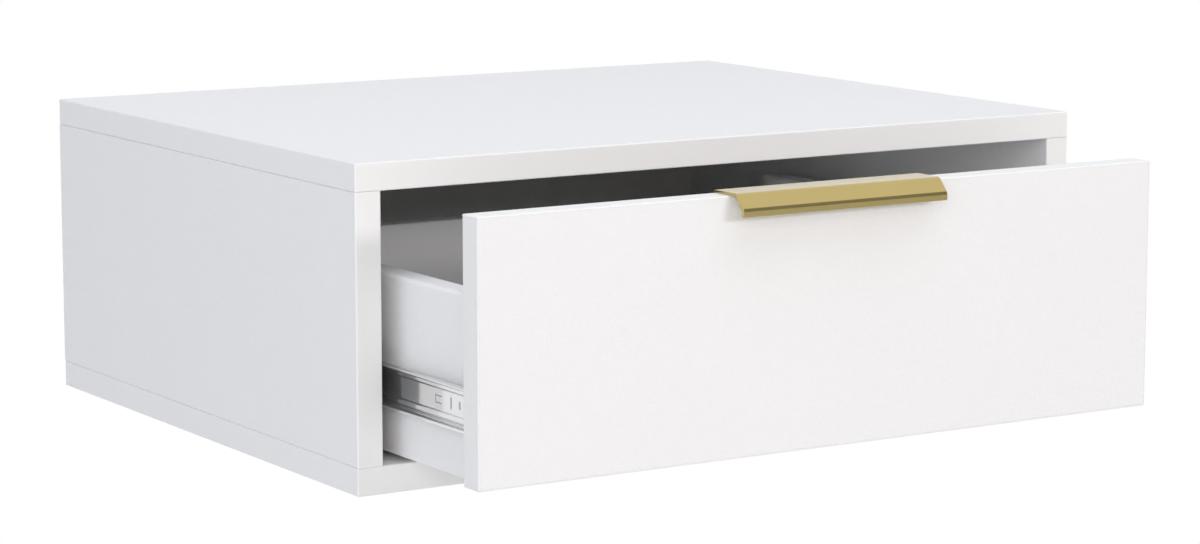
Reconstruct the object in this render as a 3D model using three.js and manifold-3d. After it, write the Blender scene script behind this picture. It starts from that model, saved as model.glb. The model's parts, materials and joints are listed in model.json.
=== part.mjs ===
// A wall-hung bedside cabinet with one drawer on telescopic ball-bearing slides.
// Sizes are in millimetres. X runs to the right, Y runs back to the wall and Z runs up.
// The origin is the middle of the rear face, which lies flat on the wall.
// Every piece is drawn with the drawer shut, and groups at the end pull the drawer out.
// Pieces that come in pairs are drawn for the left, and the right half is their mirror image.

import * as THREE from "three";
import { mergeVertices } from "three/addons/utils/BufferGeometryUtils.js";
import Module from "manifold-3d";

const wasm = await Module();
wasm.setup();

// Cabinet boards
const cabinetWidth = 500;
const cabinetDepth = 400;
const cabinetHeight = 186;
const boardThickness = 16;
const boardRound = 1;
const backThickness = 3;
const backLap = 8;
const railHeight = 54;
const wallHoleRadius = 4;
const wallHoleInset = 60;
const wallHoleDrop = 24;

// Drawer
const drawerOpen = 100;
const frontReveal = 3;
const frontThickness = 16;
const drawerSideThickness = 16;
const drawerSideHeight = 101.7;
const drawerSideRise = 0.5;
const drawerSideRound = 2.5;
const drawerBackThickness = 12;
const drawerBackDrop = 11;
const drawerBoardRound = 0.8;
const drawerBottomThickness = 3;
const grooveDepth = 5;
const grooveRise = 8;

// Pull, folded from one strip: a leg behind the front, a plate, a slope and a lip
const pullLength = 140;
const pullThickness = 1.8;
const pullReach = 4.8;
const pullSlopeRun = 7.2;
const pullSlopeFall = 7.8;
const pullLip = 4;
const pullLeg = 17;
const pullBend = 1.6;
const pullScrewSpacing = 96;
const pullScrewDrop = 10;

// Slides: cabinet member, intermediate member and drawer member with balls between them
const slideSpace = 12.7;
const slideRise = 43.45;
const slideFrontGap = 2;
const slideRearGap = 32;
const memberSheet = 1.2;
const memberBend = 1.2;
const cornerBend = 1.8;
const raceFlank = 1.5;
const cageSheet = 0.6;
const cageBend = 0.8;
const railGap = 0.3;
const ballGap = 0.2;
const outerBallRadius = 2.38;
const innerBallRadius = 2;
const outerRaceOffset = 2.2;
const innerRaceOffset = 4.4;
const drawerMemberHeight = 24.1;
const webFlat = 12.2;
const webStep = 1;
const middleFrontInset = 34;
const middleRearInset = 14;
const drawerMemberGap = 1;
const cageEndGap = 5;
const cageSlack = 11;
const ballCount = 6;

// Windows and slots pressed into the slide members, placed from the member's front end
const windowLength = 24;
const windowHeight = 10;
const windowStart = 76;
const windowRearStart = 58;
const windowCount = 4;
const ovalPlace = 17.5;
const ovalWidth = 2.4;
const ovalHeight = 4.6;
const slitPlace = 27;
const slitWidth = 1.3;
const slitHeight = 6.8;
const tabPlace = 41;
const tabLength = 7;
const tabHeight = 4.6;
const tabSlit = 0.6;

// Release lever, the stud that it turns on, and the lug that its nose catches
const leverLength = 62;
const leverWidth = 6;
const leverNose = 3;
const leverThickness = 3.2;
const leverPivotPlace = 26;
const studRadius = 1.6;
const studHeadRadius = 2.8;
const studHeadHeight = 0.8;
const lugReach = 5.4;
const lugWidth = 4;

// Cam fittings: a drum in one board grips the head of a bolt screwed into the other
const topCam = { radius: 7.5, depth: 12.3, reach: 34 };
const drawerCam = { radius: 7.5, depth: 12.3, reach: 24 };
const camCrossDepth = 1.6;
const camCrossWidth = 1.4;
const camCrossMargin = 2.5;
const boltHeadRadius = 3.1;
const boltHeadHeight = 3.4;
const boltNeckRadius = 1.8;
const boltNeckLength = 8.4;
const boltShankRadius = 3;
const boltThreadRadius = 2.5;
const boltThreadLength = 11;
const fittingInset = 60;
const drawerCamDrop = 22;

// Dowels
const topDowel = { radius: 4, length: 30, chamfer: 1, depth: 11 };
const drawerDowel = { radius: 4, length: 30, chamfer: 1, depth: 11 };
const railDowel = { radius: 4, length: 10, spacing: 28 };
const dowelSpacing = 32;
const drawerDowelRise = 18;

// Screws, from the flat head to the point
const panelScrew = { head: 5, sink: 3, shank: 3.2, length: 50, tip: 4 };
const socketRadius = 2.2;
const socketDepth = 3;
const boxScrew = { head: 3.5, sink: 2.2, shank: 1.9, length: 40, tip: 4 };
const boxScrewInset = 10;
const cabinetMemberScrew = { head: 3.5, sink: 2, shank: 1.7, length: 13, tip: 3 };
const drawerMemberScrew = { head: 3.5, sink: 2, shank: 1.7, length: 10, tip: 3 };
const memberScrewInset = 37;
const drawerMemberScrewInset = 9.5;
const pullScrew = { head: 3.2, sink: 1.6, shank: 1.6, length: 14, tip: 3 };

// Clearance between a piece and the hole or groove cut for it, and the overrun of a cut
const fitGap = 0.3;
const overrun = 2;

// Facets
const edgeSteps = 2;
const bendSteps = 3;
const arcStep = 24;
const roundSides = 12;
const screwSides = 10;
const socketSides = 6;
const ballSides = 8;
const ballRings = 4;
const raceLipAngle = 55;
const weldShare = 1e-4;

// Places worked out from the driving sizes
const front = -cabinetDepth;
const underside = -cabinetHeight / 2;
const roof = cabinetHeight / 2;
const halfWidth = cabinetWidth / 2;
const openingHalf = halfWidth - boardThickness;
const openingFloor = underside + boardThickness;
const openingRoof = roof - boardThickness;
const boardMiddle = openingHalf + boardThickness / 2;
const frontBack = front + frontThickness;
const frontLow = openingFloor + frontReveal;
const frontHigh = openingRoof - frontReveal;
const frontHalf = openingHalf - frontReveal;
const slideCentre = openingFloor + slideRise;
const slideFront = frontBack + slideFrontGap;
const slideRear = -slideRearGap;
const slideLength = slideRear - slideFront;
const stageTravel = slideLength / 2;
const cageLength = slideLength - stageTravel - middleFrontInset - cageEndGap - cageSlack;
const windowPitch = (slideLength - windowStart - windowRearStart) / (windowCount - 1);
const drawerHalf = openingHalf - slideSpace;
const drawerInner = drawerHalf - drawerSideThickness;
const drawerSideMiddle = drawerHalf - drawerSideThickness / 2;
const drawerRear = slideRear - slideFrontGap;
const drawerSideLow = frontLow + drawerSideRise;
const drawerSideHigh = drawerSideLow + drawerSideHeight;
const drawerBottomLow = drawerSideLow + grooveRise;
const drawerBottomHigh = drawerBottomLow + drawerBottomThickness;
const drawerBackHigh = drawerSideHigh - drawerBackDrop;
const fittingRows = [
  ["front", front + fittingInset, 1],
  ["rear", -fittingInset, -1],
];

// Axes
const alongX = new THREE.Vector3(1, 0, 0);
const alongY = new THREE.Vector3(0, 1, 0);
const alongZ = new THREE.Vector3(0, 0, 1);
const againstX = alongX.clone().negate();
const againstY = alongY.clone().negate();
const againstZ = alongZ.clone().negate();

// Finishes
const whiteBoard = new THREE.MeshStandardMaterial({ color: 0xe9e9eb, roughness: 0.55 });
const whiteSheet = new THREE.MeshStandardMaterial({ color: 0xd8d8d8, roughness: 0.6 });
const beechWood = new THREE.MeshStandardMaterial({ color: 0xc9a77a, roughness: 0.8 });
const brushedGold = new THREE.MeshStandardMaterial({ color: 0xb39a58, roughness: 0.35, metalness: 1 });
const zincSteel = new THREE.MeshStandardMaterial({ color: 0xc4c7cb, roughness: 0.22, metalness: 1 });
const ballSteel = new THREE.MeshStandardMaterial({ color: 0x9a9da2, roughness: 0.3, metalness: 1 });
const castZinc = new THREE.MeshStandardMaterial({ color: 0x8d9094, roughness: 0.5, metalness: 1 });
const blackPlastic = new THREE.MeshStandardMaterial({ color: 0x1c1c1e, roughness: 0.5 });

// Makes a closed three.js geometry a solid that can be joined and cut.
function solid(geometry) {
  const bare = geometry.index ? geometry.toNonIndexed() : geometry.clone();
  bare.deleteAttribute("normal");
  bare.deleteAttribute("uv");
  const merged = mergeVertices(bare, weldShare);
  const corners = Array.from(merged.index.array);
  const triangles = [];
  while (corners.length) {
    const [a, b, c] = corners.splice(-3);
    if (a !== b && b !== c && c !== a) triangles.push(a, b, c);
  }
  const vertProperties = merged.attributes.position.array;
  const triVerts = Uint32Array.from(triangles);
  return new wasm.Manifold(new wasm.Mesh({ numProp: 3, vertProperties, triVerts }));
}

// Makes a solid a named mesh.
function piece(name, body, material) {
  const drawn = body.getMesh();
  const geometry = new THREE.BufferGeometry();
  geometry.setAttribute("position", new THREE.BufferAttribute(drawn.vertProperties, 3));
  geometry.setIndex(new THREE.BufferAttribute(drawn.triVerts, 1));
  geometry.computeVertexNormals();
  const mesh = new THREE.Mesh(geometry, material);
  mesh.name = name;
  return mesh;
}

function cut(body, cutters) {
  return cutters.reduce((rest, cutter) => rest.subtract(cutter), body);
}

function join(body, additions) {
  return additions.reduce((whole, addition) => whole.add(addition), body);
}

function block(low, high) {
  const size = high.map((value, axis) => value - low[axis]);
  const middle = high.map((value, axis) => (value + low[axis]) / 2);
  return solid(new THREE.BoxGeometry(...size).translate(...middle));
}

// A board with rounded edges around its two faces. Thin is the axis of its thickness: 0, 1 or 2.
function board(low, high, thin, round) {
  const across = (thin + 1) % 3;
  const up = (thin + 2) % 3;
  const outline = new THREE.Shape([
    new THREE.Vector2(low[across], low[up]),
    new THREE.Vector2(high[across], low[up]),
    new THREE.Vector2(high[across], high[up]),
    new THREE.Vector2(low[across], high[up]),
  ]);
  const geometry = new THREE.ExtrudeGeometry(outline, {
    depth: high[thin] - low[thin] - 2 * round,
    bevelThickness: round,
    bevelSize: round,
    bevelOffset: -round,
    bevelSegments: edgeSteps,
  });
  const axes = [alongX, alongY, alongZ];
  geometry.applyMatrix4(new THREE.Matrix4().makeBasis(axes[across], axes[up], axes[thin]));
  const shift = axes[thin].clone().multiplyScalar(low[thin] + round);
  return solid(geometry.translate(...shift));
}

function extrusion(outline, depth) {
  return new THREE.ExtrudeGeometry(outline, { depth, bevelEnabled: false, curveSegments: bendSteps });
}

// Extrudes an outline of X and Z along Y.
function extrudeAlongY(outline, start, end) {
  const geometry = extrusion(outline, end - start);
  geometry.applyMatrix4(new THREE.Matrix4().makeBasis(alongX, alongZ, againstY));
  return solid(geometry.translate(0, end, 0));
}

// Extrudes an outline of Y and Z along X.
function extrudeAlongX(outline, start, end) {
  const geometry = extrusion(outline, end - start);
  geometry.applyMatrix4(new THREE.Matrix4().makeBasis(alongY, alongZ, alongX));
  return solid(geometry.translate(start, 0, 0));
}

// Revolves a profile of [radius, height] pairs; its height runs from the start along a direction.
function revolve(profile, start, direction, sides = roundSides) {
  const points = profile.map(([radius, height]) => new THREE.Vector2(radius, height));
  const geometry = new THREE.LatheGeometry(points, sides);
  geometry.applyQuaternion(new THREE.Quaternion().setFromUnitVectors(alongY, direction));
  return solid(geometry.translate(...start));
}

function rod(radius, length, start, direction, sides = roundSides) {
  return revolve([[0, 0], [radius, 0], [radius, length], [0, length]], start, direction, sides);
}

// The point that lies a distance from the start along a direction.
function along(start, direction, distance) {
  return new THREE.Vector3(...start).addScaledVector(direction, distance);
}

// A slot with round ends in Y and Z, cut or made along X.
function obround(placeY, placeZ, sizeY, sizeZ, start, end) {
  const radius = Math.min(sizeY, sizeZ) / 2;
  const reachY = sizeY / 2 - radius;
  const reachZ = sizeZ / 2 - radius;
  const outline = new THREE.Shape();
  const quarter = Math.PI / 2;
  const turn = sizeY < sizeZ ? quarter : 0;
  outline.absarc(placeY + reachY, placeZ + reachZ, radius, turn - quarter, turn + quarter);
  outline.absarc(placeY - reachY, placeZ - reachZ, radius, turn + quarter, turn + 3 * quarter);
  return extrudeAlongX(outline, start, end);
}

// Points of an arc between two angles in degrees.
function arc(centre, radius, from, to) {
  const steps = Math.max(1, Math.round(Math.abs(to - from) / arcStep));
  return Array.from({ length: steps + 1 }, (_, step) => {
    const angle = THREE.MathUtils.degToRad(from + ((to - from) * step) / steps);
    return new THREE.Vector2(centre.x + radius * Math.cos(angle), centre.y + radius * Math.sin(angle));
  });
}

// Rounds the inner corners of a path of straight stretches.
function bent(path, radius) {
  return path.flatMap((corner, i) => {
    if (i === 0 || i === path.length - 1) return [corner];
    const back = path[i - 1].clone().sub(corner).normalize();
    const ahead = path[i + 1].clone().sub(corner).normalize();
    const halfAngle = Math.acos(back.dot(ahead)) / 2;
    const towards = back.clone().add(ahead).normalize();
    const centre = corner.clone().addScaledVector(towards, radius / Math.sin(halfAngle));
    const startPoint = corner.clone().addScaledVector(back, radius / Math.tan(halfAngle));
    const endPoint = corner.clone().addScaledVector(ahead, radius / Math.tan(halfAngle));
    const startAngle = startPoint.clone().sub(centre).angle();
    const sweep = Math.PI - 2 * halfAngle;
    const sign = Math.sign(back.cross(ahead)) * -1;
    return Array.from({ length: bendSteps + 1 }, (_, step) => {
      if (step === bendSteps) return endPoint;
      const angle = startAngle + (sign * sweep * step) / bendSteps;
      return new THREE.Vector2(centre.x + radius * Math.cos(angle), centre.y + radius * Math.sin(angle));
    });
  });
}

// The outline of sheet metal of one thickness that follows a middle line.
function sheet(path, thickness) {
  const offset = (sign) =>
    path.map((point, i) => {
      const into = point.clone().sub(path[Math.max(i - 1, 0)]).normalize();
      const out = path[Math.min(i + 1, path.length - 1)].clone().sub(point).normalize();
      const sum = into.add(out);
      const isEnd = i === 0 || i === path.length - 1;
      const stretch = isEnd ? 1 : 2 / sum.length();
      const normal = new THREE.Vector2(-sum.y, sum.x).normalize();
      return point.clone().addScaledVector(normal, (sign * stretch * thickness) / 2);
    });
  return new THREE.Shape([...offset(1), ...offset(-1).reverse()]);
}

// A middle line drawn for the upper half, completed by its mirror image below.
function mirroredBelow(upper) {
  const lower = upper.map((point) => new THREE.Vector2(point.x, -point.y)).reverse();
  return [...lower, ...upper];
}

// Screws and their holes
function screwProfile({ head, sink, shank, length, tip }, gap) {
  return [
    [0, -gap],
    [head + gap, -gap],
    [shank + gap, sink + gap],
    [shank + gap, length - tip + gap],
    [0, length + gap],
  ];
}

function screw(kind, start, direction) {
  return revolve(screwProfile(kind, 0), start, direction, screwSides);
}

function screwHole(kind, start, direction) {
  return revolve(screwProfile(kind, fitGap), start, direction, screwSides);
}

// Dowels and their holes: the dowel reaches its depth past the joint, the rest lies behind it.
function dowel({ radius, length, chamfer, depth }, joint, direction) {
  const start = along(joint, direction, depth - length);
  const profile = [
    [0, 0],
    [radius - chamfer, 0],
    [radius, chamfer],
    [radius, length - chamfer],
    [radius - chamfer, length],
    [0, length],
  ];
  return revolve(profile, start, direction);
}

function dowelHole({ radius, length, depth }, joint, direction) {
  const start = along(joint, direction, depth - length - fitGap);
  return rod(radius + fitGap, length + 2 * fitGap, start, direction);
}

// A cam drum at its own origin: its axis is X, its open face looks along X, the bolt leaves along Z.
function camDrum({ radius, depth }, face) {
  const head = boltHeadRadius + fitGap;
  const neck = boltNeckRadius + fitGap;
  const headHalf = boltHeadHeight / 2 + fitGap;
  const reach = radius + overrun;
  const arm = radius - camCrossMargin;
  const slot = camCrossWidth / 2;
  const drumFace = face - fitGap;
  return cut(rod(radius, depth, [drumFace, 0, 0], againstX), [
    block([-head, -head, -headHalf], [head, reach, headHalf]),
    block([-neck, -neck, 0], [neck, reach, reach]),
    block([drumFace - camCrossDepth, -arm, -slot], [drumFace + overrun, arm, slot]),
    block([drumFace - camCrossDepth, -slot, -arm], [drumFace + overrun, slot, arm]),
  ]);
}

// The bolt at the same origin, with its head in the drum and its thread past the joint.
function camBolt({ reach }) {
  const headHalf = boltHeadHeight / 2;
  const profile = [
    [0, -headHalf],
    [boltHeadRadius, -headHalf],
    [boltHeadRadius, headHalf],
    [boltNeckRadius, headHalf],
    [boltNeckRadius, boltNeckLength],
    [boltShankRadius, boltNeckLength + boltShankRadius - boltNeckRadius],
    [boltShankRadius, reach],
    [boltThreadRadius, reach],
    [boltThreadRadius, reach + boltThreadLength - boltThreadRadius],
    [0, reach + boltThreadLength],
  ];
  return revolve(profile, [0, 0, 0], alongZ, screwSides);
}

// The pocket of a drum and the bore of its bolt, in the board that holds the drum.
function camPocket({ radius, depth, reach }, at, face, direction) {
  const pocketMouth = along(at, alongX, face + overrun);
  const pocket = rod(radius + fitGap, depth + 2 * fitGap + overrun, pocketMouth, againstX);
  return pocket.add(rod(boltShankRadius + fitGap, reach + overrun, at, direction));
}

// The hole of a bolt's thread, in the board that is pulled on.
function boltHole({ reach }, at, direction) {
  const start = along(at, direction, reach - overrun);
  return rod(boltThreadRadius + fitGap, boltThreadLength + overrun + fitGap, start, direction);
}

// Places of the fittings of the left half
const topCamAt = (place) => [-boardMiddle, place, openingRoof - topCam.reach];
const topDowelAt = (place, inward) => [-boardMiddle, place + inward * dowelSpacing, openingRoof];
const panelScrewAt = (place) => [-boardMiddle, place, underside];
const drawerCamAt = [-drawerSideMiddle, frontBack + drawerCam.reach, drawerSideHigh - drawerCamDrop];
const drawerDowelAt = [-drawerSideMiddle, frontBack, drawerSideLow + drawerDowelRise];
const boxScrewLevels = [
  ["lower", drawerBottomHigh + boxScrewInset],
  ["upper", drawerBackHigh - boxScrewInset],
];
const boxScrewAt = (level) => [-drawerHalf, drawerRear - drawerBackThickness / 2, level];
const cabinetScrewRows = [
  ["front", slideFront + memberScrewInset],
  ["rear", slideRear - memberScrewInset],
];
const drawerScrewRows = [
  ["front", frontBack + drawerMemberGap + drawerMemberScrewInset],
  ["rear", drawerRear - memberScrewInset],
];
const cabinetScrewAt = (place) => [-openingHalf + memberSheet, place, slideCentre];
const drawerScrewAt = (place) => [-drawerHalf - memberSheet, place, slideCentre];
const pullScrewAt = [-pullScrewSpacing / 2, frontBack + pullThickness, frontHigh - pullScrewDrop];
const wallHoles = [-1, 1].map((hand) =>
  rod(
    wallHoleRadius,
    boardThickness + backThickness + 2 * overrun,
    [hand * (openingHalf - wallHoleInset), overrun, openingRoof - wallHoleDrop],
    againstY,
  ),
);

// The cutters of the left half, mirrored, make the same holes on the right.
function both(cutters) {
  return cutters.flatMap((cutter) => [cutter, cutter.mirror([1, 0, 0])]);
}

// Cabinet boards
function rebate() {
  const half = openingHalf + backLap + fitGap;
  const low = openingFloor - backLap - fitGap;
  const high = openingRoof + backLap + fitGap;
  return block([-half, -backThickness, low], [half, overrun, high]);
}

function topPanel() {
  const holes = fittingRows.flatMap(([, place, inward]) => [
    boltHole(topCam, topCamAt(place), alongZ),
    dowelHole(topDowel, topDowelAt(place, inward), alongZ),
  ]);
  const slab = board([-halfWidth, front, openingRoof], [halfWidth, 0, roof], 2, boardRound);
  return cut(slab, [rebate(), ...both(holes)]);
}

function bottomPanel() {
  const holes = fittingRows.map(([, place]) => screwHole(panelScrew, panelScrewAt(place), alongZ));
  const slab = board([-halfWidth, front, underside], [halfWidth, 0, openingFloor], 2, boardRound);
  return cut(slab, [rebate(), ...both(holes)]);
}

function sidePanel() {
  const slab = board([-halfWidth, front, openingFloor], [-openingHalf, 0, openingRoof], 0, boardRound);
  const railMiddle = openingRoof - railHeight / 2;
  const railPlace = -backThickness - boardThickness / 2;
  const railHoles = [-1, 1].map((hand) =>
    rod(
      railDowel.radius + fitGap,
      railDowel.length + fitGap + overrun,
      [-openingHalf + overrun, railPlace, railMiddle + (hand * railDowel.spacing) / 2],
      againstX,
    ),
  );
  return cut(slab, [
    rebate(),
    ...railHoles,
    ...fittingRows.flatMap(([, place, inward]) => [
      camPocket(topCam, topCamAt(place), boardThickness / 2, alongZ),
      dowelHole(topDowel, topDowelAt(place, inward), alongZ),
      screwHole(panelScrew, panelScrewAt(place), alongZ),
    ]),
    ...cabinetScrewRows.map(([, place]) => screwHole(cabinetMemberScrew, cabinetScrewAt(place), againstX)),
  ]);
}

function backPanel() {
  const half = openingHalf + backLap;
  const low = [-half, -backThickness, openingFloor - backLap];
  const high = [half, 0, openingRoof + backLap];
  return cut(block(low, high), wallHoles);
}

// The rail that the wall screws pass through, with its dowels in the side panels.
function hangingRail() {
  const low = [-openingHalf, -backThickness - boardThickness, openingRoof - railHeight];
  const high = [openingHalf, -backThickness, openingRoof];
  const place = -backThickness - boardThickness / 2;
  const middle = openingRoof - railHeight / 2;
  const dowels = [-1, 1].map((hand) =>
    rod(
      railDowel.radius,
      2 * (openingHalf + railDowel.length),
      [-openingHalf - railDowel.length, place, middle + (hand * railDowel.spacing) / 2],
      alongX,
    ),
  );
  return cut(join(board(low, high, 1, drawerBoardRound), dowels), wallHoles);
}

// Drawer boards
function drawerFront() {
  const low = [-frontHalf, front, frontLow];
  const high = [frontHalf, frontBack, frontHigh];
  const grooveHalf = drawerInner + grooveDepth;
  const groove = block(
    [-grooveHalf, frontBack - grooveDepth, drawerBottomLow - fitGap],
    [grooveHalf, frontBack + overrun, drawerBottomHigh + fitGap],
  );
  const holes = [
    boltHole(drawerCam, drawerCamAt, againstY),
    dowelHole(drawerDowel, drawerDowelAt, againstY),
    screwHole(pullScrew, pullScrewAt, againstY),
  ];
  return cut(board(low, high, 1, boardRound), [groove, ...both(holes)]);
}

function drawerSide() {
  const quarter = Math.PI / 2;
  const outline = new THREE.Shape();
  const low = drawerSideLow + drawerBoardRound;
  const high = drawerSideHigh - drawerSideRound;
  outline.absarc(-drawerInner - drawerBoardRound, low, drawerBoardRound, -quarter, 0);
  outline.absarc(-drawerInner - drawerSideRound, high, drawerSideRound, 0, quarter);
  outline.absarc(-drawerHalf + drawerSideRound, high, drawerSideRound, quarter, 2 * quarter);
  outline.absarc(-drawerHalf + drawerBoardRound, low, drawerBoardRound, 2 * quarter, 3 * quarter);
  const groove = block(
    [-drawerInner - grooveDepth, frontBack - overrun, drawerBottomLow - fitGap],
    [-drawerInner + overrun, drawerRear + overrun, drawerBottomHigh + fitGap],
  );
  return cut(extrudeAlongY(outline, frontBack, drawerRear), [
    groove,
    camPocket(drawerCam, drawerCamAt, drawerSideThickness / 2, againstY),
    dowelHole(drawerDowel, drawerDowelAt, againstY),
    ...boxScrewLevels.map(([, level]) => screwHole(boxScrew, boxScrewAt(level), alongX)),
    ...drawerScrewRows.map(([, place]) => screwHole(drawerMemberScrew, drawerScrewAt(place), alongX)),
  ]);
}

function drawerBack() {
  const low = [-drawerInner, drawerRear - drawerBackThickness, drawerBottomHigh];
  const high = [drawerInner, drawerRear, drawerBackHigh];
  const holes = boxScrewLevels.map(([, level]) => screwHole(boxScrew, boxScrewAt(level), alongX));
  return cut(board(low, high, 1, drawerBoardRound), both(holes));
}

function drawerBottom() {
  const half = drawerInner + grooveDepth - fitGap;
  const low = [-half, frontBack - grooveDepth + fitGap, drawerBottomLow];
  return block(low, [half, drawerRear, drawerBottomHigh]);
}

// The pull's middle line runs from the foot of its leg over the front's top edge to its lip.
function pull() {
  const half = pullThickness / 2;
  const plate = frontHigh + half;
  const leg = frontBack + half;
  const fold = front - pullReach;
  const tip = fold - pullSlopeRun;
  const lipTop = plate - pullSlopeFall;
  const path = bent(
    [
      new THREE.Vector2(leg, frontHigh - pullLeg),
      new THREE.Vector2(leg, plate),
      new THREE.Vector2(fold, plate),
      new THREE.Vector2(tip, lipTop),
      new THREE.Vector2(tip, lipTop - pullLip),
    ],
    pullBend,
  );
  const strip = extrudeAlongX(sheet(path, pullThickness), -pullLength / 2, pullLength / 2);
  return cut(strip, both([screwHole(pullScrew, pullScrewAt, againstY)]));
}

// Slide sections. Their X runs from the side panel to the drawer and their Y is the height above
// the slide's centre. Each race is an arc about the centre of its row of balls.
const cabinetWeb = memberSheet / 2;
const outerCageWeb = memberSheet + railGap + cageSheet / 2;
const middleWeb = memberSheet + railGap + cageSheet + railGap + memberSheet / 2;
const innerCageWeb = middleWeb + memberSheet / 2 + railGap + cageSheet / 2;
const drawerWeb = slideSpace - memberSheet / 2;
const outerRace = outerBallRadius + ballGap + memberSheet / 2;
const innerRace = innerBallRadius + ballGap + memberSheet / 2;
const lipCosine = Math.cos(THREE.MathUtils.degToRad(raceLipAngle));
const innerBallHeight = drawerMemberHeight / 2 + (innerBallRadius + ballGap) * lipCosine;
const innerBalls = new THREE.Vector2(drawerWeb - innerRaceOffset, innerBallHeight);
const outerBallsX = middleWeb + outerRaceOffset;
const raceSpread = Math.hypot(outerRace + innerRace, raceFlank);
const outerBallsY = innerBalls.y + Math.sqrt(raceSpread ** 2 - (innerBalls.x - outerBallsX) ** 2);
const outerBalls = new THREE.Vector2(outerBallsX, outerBallsY);

// Direction in degrees from one point to another.
function bearing(from, to) {
  return THREE.MathUtils.radToDeg(Math.atan2(to.y - from.y, to.x - from.x));
}

function cabinetMemberSection() {
  const arm = outerBalls.y + outerRace;
  const corner = new THREE.Vector2(cabinetWeb + cornerBend, arm - cornerBend);
  return sheet(
    mirroredBelow([
      ...arc(corner, cornerBend, 180, 90),
      ...arc(outerBalls, outerRace, 90, 90 - raceLipAngle),
    ]),
    memberSheet,
  );
}

function middleMemberSection() {
  const cornerX = middleWeb + memberBend;
  const rise = Math.sqrt((memberBend + outerRace) ** 2 - (cornerX - outerBalls.x) ** 2);
  const corner = new THREE.Vector2(cornerX, outerBalls.y - rise);
  const cornerEnd = bearing(corner, outerBalls);
  const swing = THREE.MathUtils.radToDeg(Math.atan2(raceFlank, outerRace + innerRace));
  const crossing = bearing(outerBalls, innerBalls) - swing + 360;
  return sheet(
    mirroredBelow([
      ...arc(corner, memberBend, 180, cornerEnd),
      ...arc(outerBalls, outerRace, cornerEnd + 180, crossing).slice(1),
      ...arc(innerBalls, innerRace, crossing - 180, 90 - raceLipAngle),
    ]),
    memberSheet,
  );
}

function drawerMemberSection() {
  const root = drawerWeb - webStep;
  const crestX = root - memberBend;
  const fall = Math.sqrt((memberBend + innerRace) ** 2 - (crestX - innerBalls.x) ** 2);
  const crest = new THREE.Vector2(crestX, innerBalls.y - fall);
  const crestEnd = bearing(crest, innerBalls);
  return sheet(
    mirroredBelow([
      new THREE.Vector2(drawerWeb, webFlat / 2),
      new THREE.Vector2(root, webFlat / 2 + webStep),
      ...arc(crest, memberBend, 0, crestEnd),
      ...arc(innerBalls, innerRace, crestEnd - 180, -90 - raceLipAngle).slice(1),
    ]),
    memberSheet,
  );
}

function slideWindows(start) {
  const places = Array.from({ length: windowCount }, (_, i) => start + windowStart + i * windowPitch);
  return places.map((place) =>
    obround(place, 0, windowLength, windowHeight, -overrun, middleWeb + overrun),
  );
}

function cabinetMember() {
  const holes = cabinetScrewRows.map(([, place]) =>
    screwHole(cabinetMemberScrew, [memberSheet, place, 0], againstX),
  );
  const channel = extrudeAlongY(cabinetMemberSection(), slideFront, slideRear);
  return cut(channel, [...slideWindows(slideFront), ...holes]);
}

// The intermediate member, with the lug near its front that stops the drawer member's lever.
const middleFront = slideFront + middleFrontInset;
const middleRear = slideRear - middleRearInset;
function middleMember() {
  const channel = extrudeAlongY(middleMemberSection(), middleFront, middleRear);
  const lug = block(
    [middleWeb, middleFront, -lugWidth / 2],
    [middleWeb + memberSheet / 2 + lugReach, middleFront + memberSheet, lugWidth / 2],
  );
  return cut(channel, slideWindows(slideFront)).add(lug);
}

// The drawer member, with its pressed slots and the headed stud that the release lever turns on.
const drawerMemberFront = frontBack + drawerMemberGap;
const drawerMemberRear = slideRear - drawerMemberGap;
const leverNoseStop = middleFront + memberSheet + fitGap + stageTravel;
const leverPivot = leverNoseStop + leverPivotPlace;
const leverHigh = slideSpace - memberSheet - webStep - fitGap;
const leverLow = leverHigh - leverThickness;

function drawerMember() {
  const channel = extrudeAlongY(drawerMemberSection(), drawerMemberFront, drawerMemberRear);
  const webLow = drawerWeb - overrun;
  const webHigh = drawerWeb + overrun;
  const tabAt = drawerMemberFront + tabPlace;
  const tabCore = obround(tabAt, 0, tabLength - 2 * tabSlit, tabHeight - 2 * tabSlit, webLow, webHigh);
  const tabRoot = block([webLow, tabAt - tabLength, -tabHeight], [webHigh, tabAt - tabLength / 4, tabHeight]);
  const tabCut = cut(obround(tabAt, 0, tabLength, tabHeight, webLow, webHigh), [tabCore, tabRoot]);
  const slots = [
    obround(drawerMemberFront + ovalPlace, 0, ovalWidth, ovalHeight, webLow, webHigh),
    obround(drawerMemberFront + slitPlace, 0, slitWidth, slitHeight, webLow, webHigh),
    tabCut,
    ...drawerScrewRows.map(([, place]) =>
      screwHole(drawerMemberScrew, [slideSpace - memberSheet, place, 0], alongX),
    ),
  ];
  const studHead = leverLow - fitGap;
  const stud = revolve(
    [
      [0, -studHeadHeight],
      [studHeadRadius, -studHeadHeight],
      [studHeadRadius, 0],
      [studRadius, 0],
      [studRadius, drawerWeb - studHead],
      [0, drawerWeb - studHead],
    ],
    [studHead, leverPivot, 0],
    alongX,
    screwSides,
  );
  return cut(channel, slots).add(stud);
}

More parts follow.
